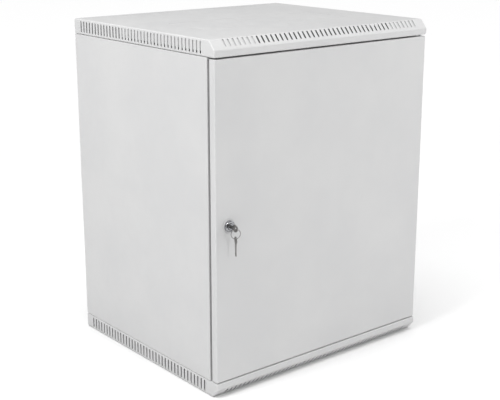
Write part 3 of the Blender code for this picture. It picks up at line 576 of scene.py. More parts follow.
def metal_grain_group():
    """Fine lines and pits in plated metal. Stretch draws the lines out along an axis."""
    tree, given, result = shader_group(
        "metal grain",
        [("Vector", (0, 0, 0)), ("Stretch", (1, 1, 1)), ("Line Scale", 1500.0), ("Pit Scale", 900.0),
         ("Pits", 0.3)],
        ["Height", "Lines"],
    )
    drawn = vector_math(tree, "MULTIPLY", given["Vector"], given["Stretch"])
    lines = noise(tree, drawn, given["Line Scale"], 3.0, 0.6)
    pits = mapped(tree, noise(tree, given["Vector"], given["Pit Scale"], 2.0, 0.5), 0.25, 0.4, 0.0, 1.0)
    low = math_node(tree, "MULTIPLY", pits, given["Pits"])
    tree.links.new(math_node(tree, "ADD", lines, low), result["Height"])
    tree.links.new(lines, result["Lines"])
    return tree


POWDER_SKIN = powder_skin_group()
HANDLING = handling_group()
EDGE_SHEEN = edge_sheen_group()
METAL_GRAIN = metal_grain_group()


# ---------------------------------------------------------------- materials
class Finish:
    """A material under way: its tree, its Principled shader and the object coordinates."""

    def __init__(self, name, metallic=0.0):
        self.material = bpy.data.materials.new(name)
        self.material.use_nodes = True
        self.tree = self.material.node_tree
        self.shader = self.tree.nodes["Principled BSDF"]
        self.shader.inputs["Metallic"].default_value = metallic
        self.place = self.tree.nodes.new("ShaderNodeTexCoord").outputs["Object"]

    def group(self, tree, **values):
        """A shared effect placed in this material. Its inputs are named with _ for a space."""
        inputs = {"Vector": self.place}
        inputs.update({key.replace("_", " "): value for key, value in values.items()})
        return add(self.tree, "ShaderNodeGroup", inputs, node_tree=tree).outputs

    def mix(self, factor, first, second):
        """A colour between two, by a factor that changes over the surface."""
        made = self.tree.nodes.new("ShaderNodeMix")
        made.data_type = "RGBA"
        self.tree.links.new(factor, made.inputs["Factor"])
        for index, colour in ((6, first), (7, second)):
            if isinstance(colour, bpy.types.NodeSocket):
                self.tree.links.new(colour, made.inputs[index])
            else:
                made.inputs[index].default_value = (*colour, 1)
        return made.outputs[2]

    def between(self, factor, low, high, first=0.0, last=1.0):
        """A number from low to high, as the factor goes from first to last."""
        return mapped(self.tree, factor, first, last, low, high)

    def paint(self, colour, roughness, height, distance):
        """Links the colour, roughness and relief to the shader. distance is the relief's depth in metres."""
        bump = add(self.tree, "ShaderNodeBump", {"Height": height, "Distance": distance, "Strength": 1.0})
        self.tree.links.new(colour, self.shader.inputs["Base Color"])
        self.tree.links.new(roughness, self.shader.inputs["Roughness"])
        self.tree.links.new(bump.outputs["Normal"], self.shader.inputs["Normal"])
        return self.material


COAT_COLOUR = (0.555, 0.555, 0.555)
COAT_SHADE = (0.53, 0.531, 0.534)
# The last of these is a painted highlight colour, laid along the panels' edges.
COAT_EDGE_HIGHLIGHT = (0.62, 0.62, 0.62)


def powder_coat(name, low, high):
    """Light grey powder coat on one panel, with the coat thinner and glossier along the panel's own edges,
    and a painted highlight there.
    """
    coat = Finish("powder coat, " + name)
    skin = coat.group(POWDER_SKIN)
    marks = coat.group(HANDLING)
    thin_edges = coat.group(EDGE_SHEEN, Low=tuple(low), High=tuple(high))
    colour = coat.mix(marks["Broad"], COAT_COLOUR, COAT_SHADE)
    speck = coat.between(skin["Grit"], 0.0, 0.35, 0.62, 0.78)
    colour = coat.mix(speck, colour, COAT_SHADE)
    # Painted highlight: the colour turns lighter along the panel's edges. The lower roughness there is the
    # thin coat's own gloss.
    painted_edge_highlight = math_node(coat.tree, "MULTIPLY", thin_edges["Mask"], 0.35)
    colour = coat.mix(painted_edge_highlight, colour, COAT_EDGE_HIGHLIGHT)
    rough = coat.between(marks["Fine"], 0.40, 0.50)
    rough = math_node(coat.tree, "SUBTRACT", rough, math_node(coat.tree, "MULTIPLY", thin_edges["Mask"], 0.08))
    return coat.paint(colour, rough, skin["Height"], 0.03 * MM)


def panel_coat(node):
    return powder_coat(node.replace("_", " "), *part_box(node))


def zinc():
    plate = Finish("bright zinc plate", metallic=1.0)
    grain = plate.group(METAL_GRAIN, Line_Scale=500.0, Pit_Scale=1400.0, Pits=0.2)
    marks = plate.group(HANDLING, Scale=25.0, Fine_Scale=240.0)
    colour = plate.mix(marks["Broad"], (0.60, 0.62, 0.65), (0.66, 0.65, 0.60))
    colour = plate.mix(marks["Fine"], colour, (0.52, 0.54, 0.58))
    rough = plate.between(marks["Fine"], 0.26, 0.42)
    return plate.paint(colour, rough, grain["Height"], 0.02 * MM)


def chrome():
    plate = Finish("polished chrome", metallic=1.0)
    grain = plate.group(METAL_GRAIN, Line_Scale=900.0, Pit_Scale=2200.0, Pits=0.1)
    marks = plate.group(HANDLING, Scale=60.0, Fine_Scale=500.0)
    colour = plate.mix(marks["Broad"], (0.34, 0.34, 0.35), (0.26, 0.27, 0.285))
    rough = plate.between(marks["Fine"], 0.04, 0.12)
    return plate.paint(colour, rough, grain["Height"], 0.002 * MM)


def key_nickel():
    plate = Finish("nickel plated key steel", metallic=1.0)
    grain = plate.group(
        METAL_GRAIN, Line_Scale=2600.0, Stretch=(1.0, 0.15, 0.15), Pit_Scale=1800.0, Pits=0.15
    )
    marks = plate.group(HANDLING, Scale=90.0, Fine_Scale=700.0)
    colour = plate.mix(marks["Broad"], (0.27, 0.265, 0.255), (0.21, 0.205, 0.20))
    dark_lines = plate.between(grain["Lines"], 0.0, 0.6, 0.55, 0.75)
    colour = plate.mix(dark_lines, colour, (0.13, 0.127, 0.123))
    rough = plate.between(marks["Fine"], 0.20, 0.36)
    return plate.paint(colour, rough, grain["Height"], 0.008 * MM)


def moulded(name, colour, shade, low, high):
    """Moulded plastic or rubber: a fine eroded texture, with a darker tint in broad random patches."""
    skin = Finish(name)
    grain = skin.group(POWDER_SKIN, Peel_Scale=2200.0, Grit_Scale=5200.0, Grit_Share=0.6)
    marks = skin.group(HANDLING, Scale=80.0, Fine_Scale=600.0)
    tint = skin.mix(marks["Broad"], colour, shade)
    rough = skin.between(marks["Fine"], low, high)
    return skin.paint(tint, rough, grain["Height"], 0.012 * MM)


ZINC = zinc()
CHROME = chrome()
KEY_NICKEL = key_nickel()
RUBBER = moulded("white rubber", (0.72, 0.72, 0.70), (0.60, 0.60, 0.57), 0.62, 0.78)
NYLON = moulded("grey nylon", (0.50, 0.50, 0.50), (0.44, 0.44, 0.45), 0.38, 0.5)


# ---------------------------------------------------------------- finishing a piece
def smooth(obj, angle=32):
    """Smooth bends between flat faces: sharp edges stay sharp, and big faces keep their own normals."""
    work = bmesh.new()
    work.from_mesh(obj.data)
    bmesh.ops.remove_doubles(work, verts=work.verts, dist=0.002 * MM)
    work.to_mesh(obj.data)
    work.free()
    obj.data.shade_smooth()
    obj.data.set_sharp_from_angle(angle=math.radians(angle))
    weighted = obj.modifiers.new("flat faces stay flat", "WEIGHTED_NORMAL")
    weighted.keep_sharp = True
    weighted.weight = 100
    return bake(obj)


def piece(obj, body, finish, slot, *nodes, angle=32):
    """A finished piece: its shading, its material, the body it rides on and the nodes it stands for."""
    smooth(obj, angle)
    obj.data.materials.clear()
    obj.data.materials.append(finish)
    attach(obj, body)
    if nodes:
        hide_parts(*nodes)
    return obj


# ---------------------------------------------------------------- punches
def obround(length, radius, steps=6):
    """A slot's outline along v: two half circles and two straight sides."""
    straight = length / 2 - radius
    upper = arc(radius, 0, math.pi, steps, (0, straight))
    return upper + arc(radius, math.pi, math.pi, steps, (0, -straight))


def punch(name, outline, faces, matrix):
    """A through punch along local Z whose rims open out at the sheet's faces, given from low to high."""
    low, high = faces
    rings = [
        level(grown(outline, 2 * RIM), low - RIM), level(outline, low + RIM),
        level(outline, high - RIM), level(grown(outline, 2 * RIM), high + RIM),
    ]
    return loft(name, rings, matrix)


def bores(name, spots, low, high, axis=(0, 0, 1), count=20):
    """One cutter for several round holes, from (place, radius) spots, along an axis."""
    rods = []
    for i, (place, radius) in enumerate(spots):
        matrix = along_axis(axis, place)
        rods.append(turned(f"{name} {i}", [(radius, low), (radius, high)], matrix, count))
    return merged(name, *rods)


# ---------------------------------------------------------------- roof and base
def tray_profile(inward=0.0):
    """The tray's side view as (y, z), with z from its outer plate inwards, moved in by a distance."""
    outline = [
        (FRONT + SLOPE_RUN, 0), (BACK, 0), (BACK, FASCIA), (FRONT, FASCIA), (FRONT, SLOPE_DROP),
    ]
    return grown(outline, -inward)


def tray_radius(edge):
    """Wide bends along the sloping front, tight ones elsewhere, and ground weld seams at the corners."""
    first, second = (vert.co for vert in edge.verts)
    if abs(first.x - second.x) < MM and abs(first.z - second.z) > MM:
        return 2.2 * MM
    if first.y < 0 and second.y < 0 and first.z < FASCIA - 3 * SHEET:
        return 4.5 * MM
    return 3.4 * MM


def tray_body(name, inward):
    half = HALF - inward

    def fill(work):
        sides = [
            [work.verts.new((x, y, z)) for y, z in tray_profile(inward)] for x in (-half, half)
        ]
        count = len(sides[0])
        work.faces.new(sides[0])
        work.faces.new(sides[1])
        for i in range(count):
            j = (i + 1) % count
            work.faces.new((sides[0][i], sides[0][j], sides[1][j], sides[1][i]))

    return bent_solid(name, fill, tray_radius, less=inward)


PLATE_GAP = 0.7 * MM
LUG = 12 * MM
FAN_PLATE = rectangle(-200 * MM + PLATE_GAP, -103 * MM + PLATE_GAP, 200 * MM - PLATE_GAP, 32 * MM - PLATE_GAP)
CABLE_COVER = rectangle(65 * MM + PLATE_GAP, 198 * MM + PLATE_GAP, 185 * MM - PLATE_GAP, 238 * MM - PLATE_GAP)
PLATE_CORNER = 3 * MM


def plate_hole(name, outline):
    """The opening that a blanking plate fills, with its gap all round."""
    return slab(name, rounded(grown(outline, PLATE_GAP), PLATE_CORNER), -SHEET, 2 * SHEET)


def divided(obj, facing, along, places):
    """Cuts the flat faces that look along a direction into strips, so that each hole gets a small face."""
    work = bmesh.new()
    work.from_mesh(obj.data)
    for place in places:
        faces = [face for face in work.faces if abs(face.normal.dot(facing)) > 0.999]
        parts = set(faces)
        for face in faces:
            parts.update(face.verts, face.edges)
        bmesh.ops.bisect_plane(
            work, geom=list(parts), dist=1e-8, plane_co=Vector(along) * place, plane_no=Vector(along)
        )
    work.to_mesh(obj.data)
    work.free()


def strip_edges(holes, pitch, middle=0.0):
    """The places halfway between the holes of a row, and half a pitch beyond its ends."""
    return [middle + (i - holes / 2) * pitch for i in range(holes + 1)]


def slope_view():
    """The turn from local axes to the front slope of a tray: across it, down it and out of it."""
    down = Vector((0, -SLOPE_RUN, SLOPE_DROP)) / SLOPE_LENGTH
    out = Vector((0, -SLOPE_DROP, -SLOPE_RUN)) / SLOPE_LENGTH
    return Matrix((down.cross(out), down, out)).transposed().to_4x4()


def tray():
    """A tray with its outer plate at z = 0, open towards +Z, punched and ready to be placed."""
    shell = tray_body("tray", 0.0)
    hollow = tray_body("tray hollow", SHEET)
    mouth_outline = rounded(
        rectangle(-HALF + FLANGE_SIDE, FRONT + FLANGE_FRONT, HALF - FLANGE_SIDE, BACK - FLANGE_REAR), 2 * MM
    )
    mouth = slab("tray mouth", mouth_outline, FASCIA - 3 * SHEET, FASCIA + 2 * SHEET)
    left_cover = [(-u, v) for u, v in CABLE_COVER]
    plates = [
        plate_hole(f"plate hole {i}", outline)
        for i, outline in enumerate((FAN_PLATE, CABLE_COVER, left_cover))
    ]
    spots = []
    for side in (-1, 1):
        spots += [
            ((side * HINGE.x, HINGE.y, 0), 3.3 * MM),
            ((side * POST_BOLT.x, POST_BOLT.y, 0), 3.2 * MM),
            ((side * PANEL_SCREW.x, PANEL_SCREW.y, 0), 2.7 * MM),
        ]
    flange_holes = bores("flange holes", spots, FASCIA - 4 * SHEET, FASCIA + SHEET)
    bake(cut(shell, hollow, mouth, *plates, flange_holes))
    slant = slope_view()
    divided(shell, Vector((1, 0, 0)), (0, 1, 0), strip_edges(SIDE_SLOTS, SIDE_SLOT_PITCH, SIDE_SLOT_MIDDLE))
    divided(shell, slant.col[2].to_3d(), (1, 0, 0), strip_edges(FRONT_SLOTS, FRONT_SLOT_PITCH))

    side_punch = punch(
        "side slot punch", obround(SIDE_SLOT_LENGTH, SLOT_RADIUS), (-HALF, HALF), SIDE_VIEW
    )
    start = (0, FIRST_SIDE_SLOT, FASCIA / 2)
    punch_row(shell, side_punch, SIDE_SLOTS, start, (0, SIDE_SLOT_PITCH, 0), ZINC)

    front_punch = punch(
        "front slot punch", obround(FRONT_SLOT_LENGTH, SLOT_RADIUS), (-2 * SHEET, 0), slant
    )
    down = slant.col[1].to_3d()
    middle = Vector((0, FRONT + SLOPE_RUN, 0)) + down * (FRONT_SLOT_START + FRONT_SLOT_LENGTH / 2)
    middle.x = -(FRONT_SLOTS - 1) / 2 * FRONT_SLOT_PITCH
    punch_row(shell, front_punch, FRONT_SLOTS, middle, (FRONT_SLOT_PITCH, 0, 0), ZINC)
    return bake(shell, side_punch, front_punch)


def blank_plate(name, outline, lug_spots):
    """A flush plate on joggled lugs that hook under the tray."""
    plate = slab(name, rounded(outline, PLATE_CORNER - PLATE_GAP), 0, SHEET, edge=0.25 * MM)
    lugs = []
    for i, (x, y) in enumerate(lug_spots):
        shape = rounded(rectangle(x - LUG, y - LUG, x + LUG, y + LUG), 3 * MM)
        lugs.append(slab(f"{name} lug {i}", shape, SHEET + 0.3 * MM, 2 * SHEET + 0.5 * MM, edge=0.2 * MM))
        low, high = Vector(outline[0]), Vector(outline[2])
        near = (max(x - LUG, low.x + MM), max(y - LUG, low.y + MM))
        far = (min(x + LUG, high.x - MM), min(y + LUG, high.y - MM))
        bridge = rounded(rectangle(*near, *far), 2 * MM)
        lugs.append(slab(f"{name} bridge {i}", bridge, SHEET / 2, SHEET + 0.6 * MM))
    return bake(join(plate, *lugs))


STAY_SLOTS = 24
STAY_DEPTH = FASCIA / 2 + 7 * MM
STAY_LEG = 11 * MM
STAY_GAP = 0.8 * MM
GUSSET_SLOTS = 7
GUSSET_END = 22 * MM


def roof_stays(turned_over):
    """Inside the roof, an angle along each side behind the front slots and a gusset in each front corner."""
    clear = SHEET + STAY_GAP
    foot = SHEET * 1.5 + 0.1 * MM  # the foot's middle, just clear of the roof's sheet
    wall_x = HALF - clear - SHEET / 2
    middle = [(wall_x, STAY_DEPTH), (wall_x, foot), (wall_x - STAY_LEG, foot)]
    ends = [FIRST_SIDE_SLOT + slots * SIDE_SLOT_PITCH for slots in (-1.2, STAY_SLOTS - 0.5)]
    angle = slab("roof stay", sheet_outline(middle, SHEET, 2 * MM), -ends[1], -ends[0], FRONT_VIEW)
    inner = ((FRONT_SLOTS - 1) / 2 - GUSSET_SLOTS + 0.5) * FRONT_SLOT_PITCH
    outline = rounded(rectangle(inner, 0.6 * MM, HALF - clear, GUSSET_END), 2 * MM)
    place = Matrix.Translation((0, FRONT + SLOPE_RUN, 0)) @ slope_view()
    gusset = slab("roof gusset", outline, -clear - SHEET, -clear, place, edge=0.2 * MM)
    finish = panel_coat("roof")
    for shape in (angle, gusset):
        for word, mirror in (("left", Matrix.Identity(4)), ("right", MIRROR_X)):
            name = shape.name.replace(" ", "_") + "_" + word
            piece(copied(shape, name, turned_over @ mirror), "cabinet", finish, "powder_coat")
        bpy.data.objects.remove(shape)


def trays():
    """Base and roof with their blanking plates. The roof is the same pressing turned over."""
    upright = Matrix.Identity(4)
    turned_over = Matrix.Translation((0, 0, HEIGHT)) @ Matrix.Rotation(math.pi, 4, "Y")
    shell = tray()
    fan_lugs = [(x, y) for x in (-150 * MM, 150 * MM) for y in (-103 * MM, 32 * MM)]
    fan_plate = blank_plate("fan plate", FAN_PLATE, fan_lugs)
    cover = blank_plate("cable cover", CABLE_COVER, [(65 * MM, 218 * MM), (185 * MM, 218 * MM)])
    mirrored = copied(cover, "cable cover mirrored", MIRROR_X)
    for node, matrix, word, other_word in (
        ("base", upright, "right", "left"), ("roof", turned_over, "left", "right"),
    ):
        shapes = (
            (shell, node, node + "_shell"),
            (fan_plate, node + "_fan_plate", node + "_fan_blank"),
            (cover, f"{node}_cable_cover_{word}", f"{node}_cable_cover_{word}_blank"),
            (mirrored, f"{node}_cable_cover_{other_word}", f"{node}_cable_cover_{other_word}_blank"),
        )
        for shape, cad_node, name in shapes:
            made = copied(shape, name, matrix)
            piece(made, "cabinet", panel_coat(cad_node), "powder_coat", cad_node)
    for shape in (shell, fan_plate, cover, mirrored):
        bpy.data.objects.remove(shape)
    roof_stays(turned_over)


# ---------------------------------------------------------------- frame and shell
POST_BOLT = Vector((288 * MM, FRONT + 43 * MM))
PANEL_SCREW = Vector((293.5 * MM, 20 * MM))
RAIL_SCREW_X = 280 * MM
KEYHOLE_X = 225 * MM
KEYHOLE_HEIGHTS = (95 * MM, 635 * MM)
KEYHOLE_RADIUS = 7 * MM
KEYHOLE_NECK = 4 * MM
KEYHOLE_RISE = 13 * MM
RAIL_HEIGHTS = {
    word: sum((corner.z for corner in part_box("depth_rail_left_" + word)), 0.0) / 2
    for word in ("lower", "upper")
}


def keyhole(name, x, z):
    """A hanging hole with a flared rim: a round mouth with a narrow neck above it."""
    meet = math.asin(KEYHOLE_NECK / KEYHOLE_RADIUS)
    outline = arc(KEYHOLE_RADIUS, QUARTER + meet, 2 * math.pi - 2 * meet, 14, (x, z))
    outline += arc(KEYHOLE_NECK, 0, math.pi, 8, (x, z + KEYHOLE_RISE))
    return punch(name, outline, (-BACK, -BACK + 4 * SHEET), FRONT_VIEW)


def back_panel():
    low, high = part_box("back_panel")

    def radius(edge):
        first, second = (vert.co for vert in edge.verts)
        return 1.2 * MM if abs(first.y - second.y) > MM else 2.2 * MM

    shell = bent_solid("back_sheet", lambda work: add_cube(work, low, high), radius)
    in_low = low + Vector((SHEET, -3 * SHEET, SHEET))
    in_high = high - Vector((SHEET, SHEET, SHEET))
    hollow = bent_solid("back hollow", lambda work: add_cube(work, in_low, in_high), radius, less=SHEET)
    keyholes = [
        keyhole(f"keyhole {side} {z}", side * KEYHOLE_X, z) for side in (-1, 1) for z in KEYHOLE_HEIGHTS
    ]
    spots = [
        ((side * RAIL_SCREW_X, BACK, z), 3.3 * MM) for side in (-1, 1) for z in RAIL_HEIGHTS.values()
    ]
    screw_holes = bores("back screw holes", spots, -4 * SHEET, SHEET, axis=(0, 1, 0))
    bake(cut(shell, hollow, *keyholes, screw_holes))
    piece(shell, "cabinet", panel_coat("back_panel"), "powder_coat", "back_panel")


def side_panel(word, side):
    """A side sheet with a wide bend at the front and a hem at top and bottom."""
    node = "side_panel_" + word
    low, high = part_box(node)
    hem = high.x - low.x

    def radius(edge):
        first, second = (vert.co for vert in edge.verts)
        outer = min(abs(first.x), abs(second.x)) > HALF - 2 * PANEL_SHEET
        vertical = abs(first.z - second.z) > MM
        if outer and vertical and first.y < 0:
            return 2.0 * MM
        return 1.4 * MM if outer else 0.5 * MM

    shell = bent_solid(node + "_sheet", lambda work: add_cube(work, low, high), radius)
    far = hem + 10 * MM

    def inner_box(name, y_low, y_high, grow):
        near = side * (HALF - PANEL_SHEET)
        deep = side * (HALF - far)
        return box(
            name, (min(near, deep), y_low, low.z + grow), (max(near, deep), y_high, high.z - grow)
        )

    hollow = inner_box("panel hollow", low.y + PANEL_SHEET, BACK + SHEET, PANEL_SHEET)
    post_notch = inner_box("post notch", low.y + PANEL_SHEET, FRONT + 62 * MM, -SHEET)
    back_notch = inner_box("back notch", BACK - 19 * MM, BACK + SHEET, -SHEET)
    spots = [((side * PANEL_SCREW.x, PANEL_SCREW.y, 0), 2.8 * MM)]
    screw_hole = bores("panel screw hole", spots, 0, HEIGHT)
    bake(cut(shell, hollow, post_notch, back_notch, screw_hole))
    piece(shell, "cabinet", panel_coat(node), "powder_coat", node)


def front_post(word, side):
    """A channel post with its two end plates."""
    node = "front_post_" + word
    low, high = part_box(node)
    inside, outside = (low.x, high.x) if side > 0 else (high.x, low.x)
    t = FRAME_SHEET / 2
    middle = [
        (inside, low.y + t), (outside - side * t, low.y + t),
        (outside - side * t, high.y - t), (inside, high.y - t),
    ]
    channel = slab(node + "_channel", sheet_outline(middle, FRAME_SHEET, 2 * MM), low.z, high.z)
    ends = []
    for i, z in enumerate((low.z, high.z - FRAME_SHEET)):
        xs = sorted((inside, outside - side * FRAME_SHEET))
        plate = rectangle(xs[0], low.y + FRAME_SHEET, xs[1], high.y - FRAME_SHEET)
        end = slab(f"{node} end {i}", rounded(plate, 1 * MM), z, z + FRAME_SHEET, edge=0.2 * MM)
        hole = bores("end hole", [((side * POST_BOLT.x, POST_BOLT.y, 0), 3.3 * MM)], 0, HEIGHT)
        ends.append(bake(cut(end, hole)))
    post = merged(node + "_fold", channel, *ends)
    piece(post, "cabinet", panel_coat(node), "powder_coat", node)


def depth_rail(word, side, height):
    """A bracket between post and back panel, slotted for the bolt of the mounting rail."""
    node = f"depth_rail_{word}_{height}"
    low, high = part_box(node)
    inside, outside = (low.x, high.x) if side > 0 else (high.x, low.x)
    t = FRAME_SHEET / 2
    middle = [
        (outside, low.y + t), (inside + side * t, low.y + t),
        (inside + side * t, high.y - t), (outside, high.y - t),
    ]
    rail = slab(node + "_fold", sheet_outline(middle, FRAME_SHEET, 2 * MM), low.z, high.z)
    z = (low.z + high.z) / 2
    start, end = FRONT + 71 * MM, BACK - 95 * MM
    outline = [(z + v, (start + end) / 2 + u) for v, u in obround(end - start, 3.4 * MM)]
    # The slot's outline is (z, y), and it is punched along X
    faces = sorted((inside, inside + side * FRAME_SHEET))
    matrix = Matrix(((0, 0, 1, 0), (0, 1, 0, 0), (1, 0, 0, 0), (0, 0, 0, 1)))
    slot = punch("rail slot", outline, faces, matrix)
    spots = [((side * RAIL_SCREW_X, high.y, z), 3.3 * MM)]
    hole = bores("rail screw hole", spots, -3 * FRAME_SHEET, MM, axis=(0, 1, 0))
    bake(cut(rail, slot, hole))
    piece(rail, "cabinet", ZINC, "zinc", node)


def mounting_rail(word, side):
    """A 19-inch rail, with three square holes for each rack unit, made for the right and mirrored."""
    node = "mounting_rail_" + word
    low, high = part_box("mounting_rail_right")
    t = FRAME_SHEET / 2
    middle = [
        (low.x, low.y + t), (high.x - t, low.y + t), (high.x - t, high.y - t), (high.x - 14 * MM, high.y - t),
    ]
    rail = slab(node + "_fold", sheet_outline(middle, FRAME_SHEET, 2 * MM), low.z, high.z)
    half = HOLE_SIDE / 2
    square = punch(
        "square punch", rounded(rectangle(-half, -half, half, half), 0.8 * MM),
        (0, FRAME_SHEET), along_axis((0, 1, 0)),
    )
    first = (HEIGHT - RACK_UNITS * UNIT) / 2
    for rise in HOLE_HEIGHTS:
        punch_row(rail, square, RACK_UNITS, (HOLE_X, low.y, first + rise), (0, 0, UNIT), ZINC)
    bake(rail, square)
    spots = [((high.x, FRONT + 75 * MM, z), 3.4 * MM) for z in RAIL_HEIGHTS.values()]
    bolt_holes = bores("rail bolt holes", spots, -4 * MM, MM, axis=(1, 0, 0))
    bake(cut(rail, bolt_holes))
    if side < 0:
        mirrored = copied(rail, rail.name, MIRROR_X)
        bpy.data.objects.remove(rail)
        rail = mirrored
        rail.name = node + "_fold"
    piece(rail, word + "_rail", ZINC, "zinc", node)


# ---------------------------------------------------------------- fasteners
def thread(name, radius, start, end, pitch=1.0 * MM, depth=0.32 * MM, count=18):
    """A screw thread along local Z, with a chamfered tip at end."""
    rings_per_turn = 6
    rings = max(2, int((end - start) / pitch * rings_per_turn))
    made = []
    for i in range(rings + 1):
        height = start + (end - start) * i / rings
        tip = min(1.0, (end - height) / pitch)
        ring = []
        for j in range(count):
            angle = 2 * math.pi * j / count
            phase = (height / pitch - j / count) % 1.0
            groove = depth * abs(2 * phase - 1)
            size = radius - groove - (1 - tip) * 0.5 * MM
            ring.append((size * math.cos(angle), size * math.sin(angle), height))
        made.append(ring)
    return loft(name, made)


def hexagon(across_corners, steps=2):
    return rounded(circle(across_corners, 6), 0.5 * MM, steps=steps)


def hex_bolt(name, head_radius, head_height, radius, length):
    """A bolt whose head's seat is at the origin and whose shank runs along +Z."""
    outline = hexagon(head_radius)
    rings = [
        level(grown(outline, -0.9 * MM), -head_height),
        level(grown(outline, -0.1 * MM), -head_height + 0.5 * MM),
        level(outline, -head_height + 0.8 * MM), level(outline, -0.5 * MM),
        level(grown(outline, -0.2 * MM), -0.35 * MM),
    ]
    head = loft(name, rings)
    flange = turned("bolt washer", [
        (head_radius * 0.9, -0.5 * MM), (head_radius, -0.4 * MM), (head_radius, 0), (radius, 0),
    ], None, 28)
    shank = thread("bolt thread", radius, -0.2 * MM, length)
    return merged(name, head, flange, shank)


def cross_outline(arm, half):
    return [
        (arm, -half), (arm, half), (half, half), (half, arm), (-half, arm), (-half, half),
        (-arm, half), (-arm, -half), (-half, -half), (-half, -arm), (half, -arm), (half, -half),
    ]


def pan_screw(name, head_radius, head_height, radius, length):
    """A pan-head screw with a cross recess. Its seat is at the origin and its shank runs along +Z."""
    dome = [(head_radius, 0), (head_radius, -0.35 * head_height)]
    for i in range(1, 6):
        angle = QUARTER * i / 5
        dome.append((
            head_radius * (0.45 + 0.55 * math.cos(angle)), -head_height * (0.35 + 0.65 * math.sin(angle)),
        ))
    head = turned(name, dome, None, 28)
    arm = head_radius * 0.5
    recess = loft("cross recess", [
        level(cross_outline(arm, arm * 0.24), -head_height - MM),
        level(cross_outline(arm * 0.4, arm * 0.16), -0.25 * head_height),
    ])
    bake(cut(head, recess))
    shank = thread("screw thread", radius, -0.2 * MM, length, pitch=0.8 * MM, depth=0.25 * MM)
    return merged(name, head, shank)


def hex_nut(name, corner_radius, bore, height):
    """A nut from the origin along +Z, chamfered at both faces."""
    outline = hexagon(corner_radius)
    nut = loft(name, [
        level(grown(outline, -0.5 * MM), 0), level(outline, 0.5 * MM),
        level(outline, height - 0.5 * MM), level(grown(outline, -0.5 * MM), height),
    ])
    hole = turned("nut bore", [
        (bore + 0.6 * MM, -0.1 * MM), (bore, 0.5 * MM),
        (bore, height - 0.5 * MM), (bore + 0.6 * MM, height + 0.1 * MM),
    ], None, 24)
    return bake(cut(nut, hole))


def place_fittings(name, fitting, body, nodes, places):
    """Copies of a fitting as one piece that stands for several nodes of one body."""
    made = fittings(name, fitting, places, ZINC)
    bpy.data.objects.remove(fitting)
    piece(made, body, ZINC, "zinc", *nodes, angle=40)


def frame_fasteners():
    levels = (("lower", -1), ("upper", 1))
    bolt_places, screw_places, rail_places = [], [], []
    bolt_nodes, screw_nodes, rail_nodes = [], [], []
    for word, side in SIDES:
        for height, up in levels:
            seat = HEIGHT / 2 + up * (HEIGHT / 2 - FASCIA + SHEET + 0.3 * MM)
            bolt_places.append(((side * POST_BOLT.x, POST_BOLT.y, seat), (0, 0, -up)))
            screw_places.append(((side * PANEL_SCREW.x, PANEL_SCREW.y, seat), (0, 0, -up)))
            seat_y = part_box(f"depth_rail_{word}_{height}")[1].y - FRAME_SHEET - 0.3 * MM
            rail_places.append(((side * RAIL_SCREW_X, seat_y, RAIL_HEIGHTS[height]), (0, 1, 0)))
            bolt_nodes.append(f"post_bolt_{word}_{height}")
            screw_nodes.append(f"side_panel_screw_{word}_{height}")
            rail_nodes.append(f"depth_rail_screw_{word}_{height}")
    bolt = hex_bolt("post bolt", 5.7 * MM, 4 * MM, 3 * MM, 14 * MM)
    place_fittings("post_bolts", bolt, "cabinet", bolt_nodes, bolt_places)
    screw = pan_screw("panel screw", 4.4 * MM, 3 * MM, 2.5 * MM, 10 * MM)
    place_fittings("side_panel_screws", screw, "cabinet", screw_nodes, screw_places)
    rail_screw = pan_screw("rail screw", 5 * MM, 3 * MM, 3 * MM, 3.1 * MM)
    place_fittings("depth_rail_screws", rail_screw, "cabinet", rail_nodes, rail_places)


def rail_clamps(word, side):
    """The bolts and nuts that clamp a mounting rail on its depth rails."""
    body = word + "_rail"
    y = FRONT + 75 * MM
    seat = side * (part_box("mounting_rail_right")[1].x - FRAME_SHEET - 0.3 * MM)
    near = side * (abs(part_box("rail_nut_right_lower")[0].x))
    bolts = [((seat, y, z), (side, 0, 0)) for z in RAIL_HEIGHTS.values()]
    nuts = [((near, y, z), (side, 0, 0)) for z in RAIL_HEIGHTS.values()]
    bolt = hex_bolt("clamp bolt", 5.7 * MM, 4 * MM, 3 * MM, 12 * MM)
    nut = hex_nut("clamp nut", 5.7 * MM, 3.05 * MM, 5 * MM)
    bolt_nodes = [f"rail_bolt_{word}_{height}" for height in RAIL_HEIGHTS]
    nut_nodes = [f"rail_nut_{word}_{height}" for height in RAIL_HEIGHTS]
    place_fittings(f"rail_bolts_{word}", bolt, body, bolt_nodes, bolts)
    place_fittings(f"rail_nuts_{word}", nut, body, nut_nodes, nuts)


def earth_stud(node, body, axis):
    """A weld stud with its flange, along an axis."""
    low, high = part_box(node)
    middle = (low + high) / 2
    start = low.y if axis[1] > 0 else high.y
    place = (middle.x, start, middle.z)
    flange = turned("stud flange", [
        (5.0 * MM, 0), (6.0 * MM, 0.2 * MM), (6.0 * MM, 1.1 * MM), (4.6 * MM, 1.5 * MM), (3.0 * MM, 1.5 * MM),
    ], along_axis(axis, place), 30)
    shank = thread("stud thread", 3 * MM, 1.2 * MM, high.y - low.y)
    shank.data.transform(along_axis(axis, place))
    piece(merged(node + "_thread", flange, shank), body, ZINC, "zinc", node, angle=40)


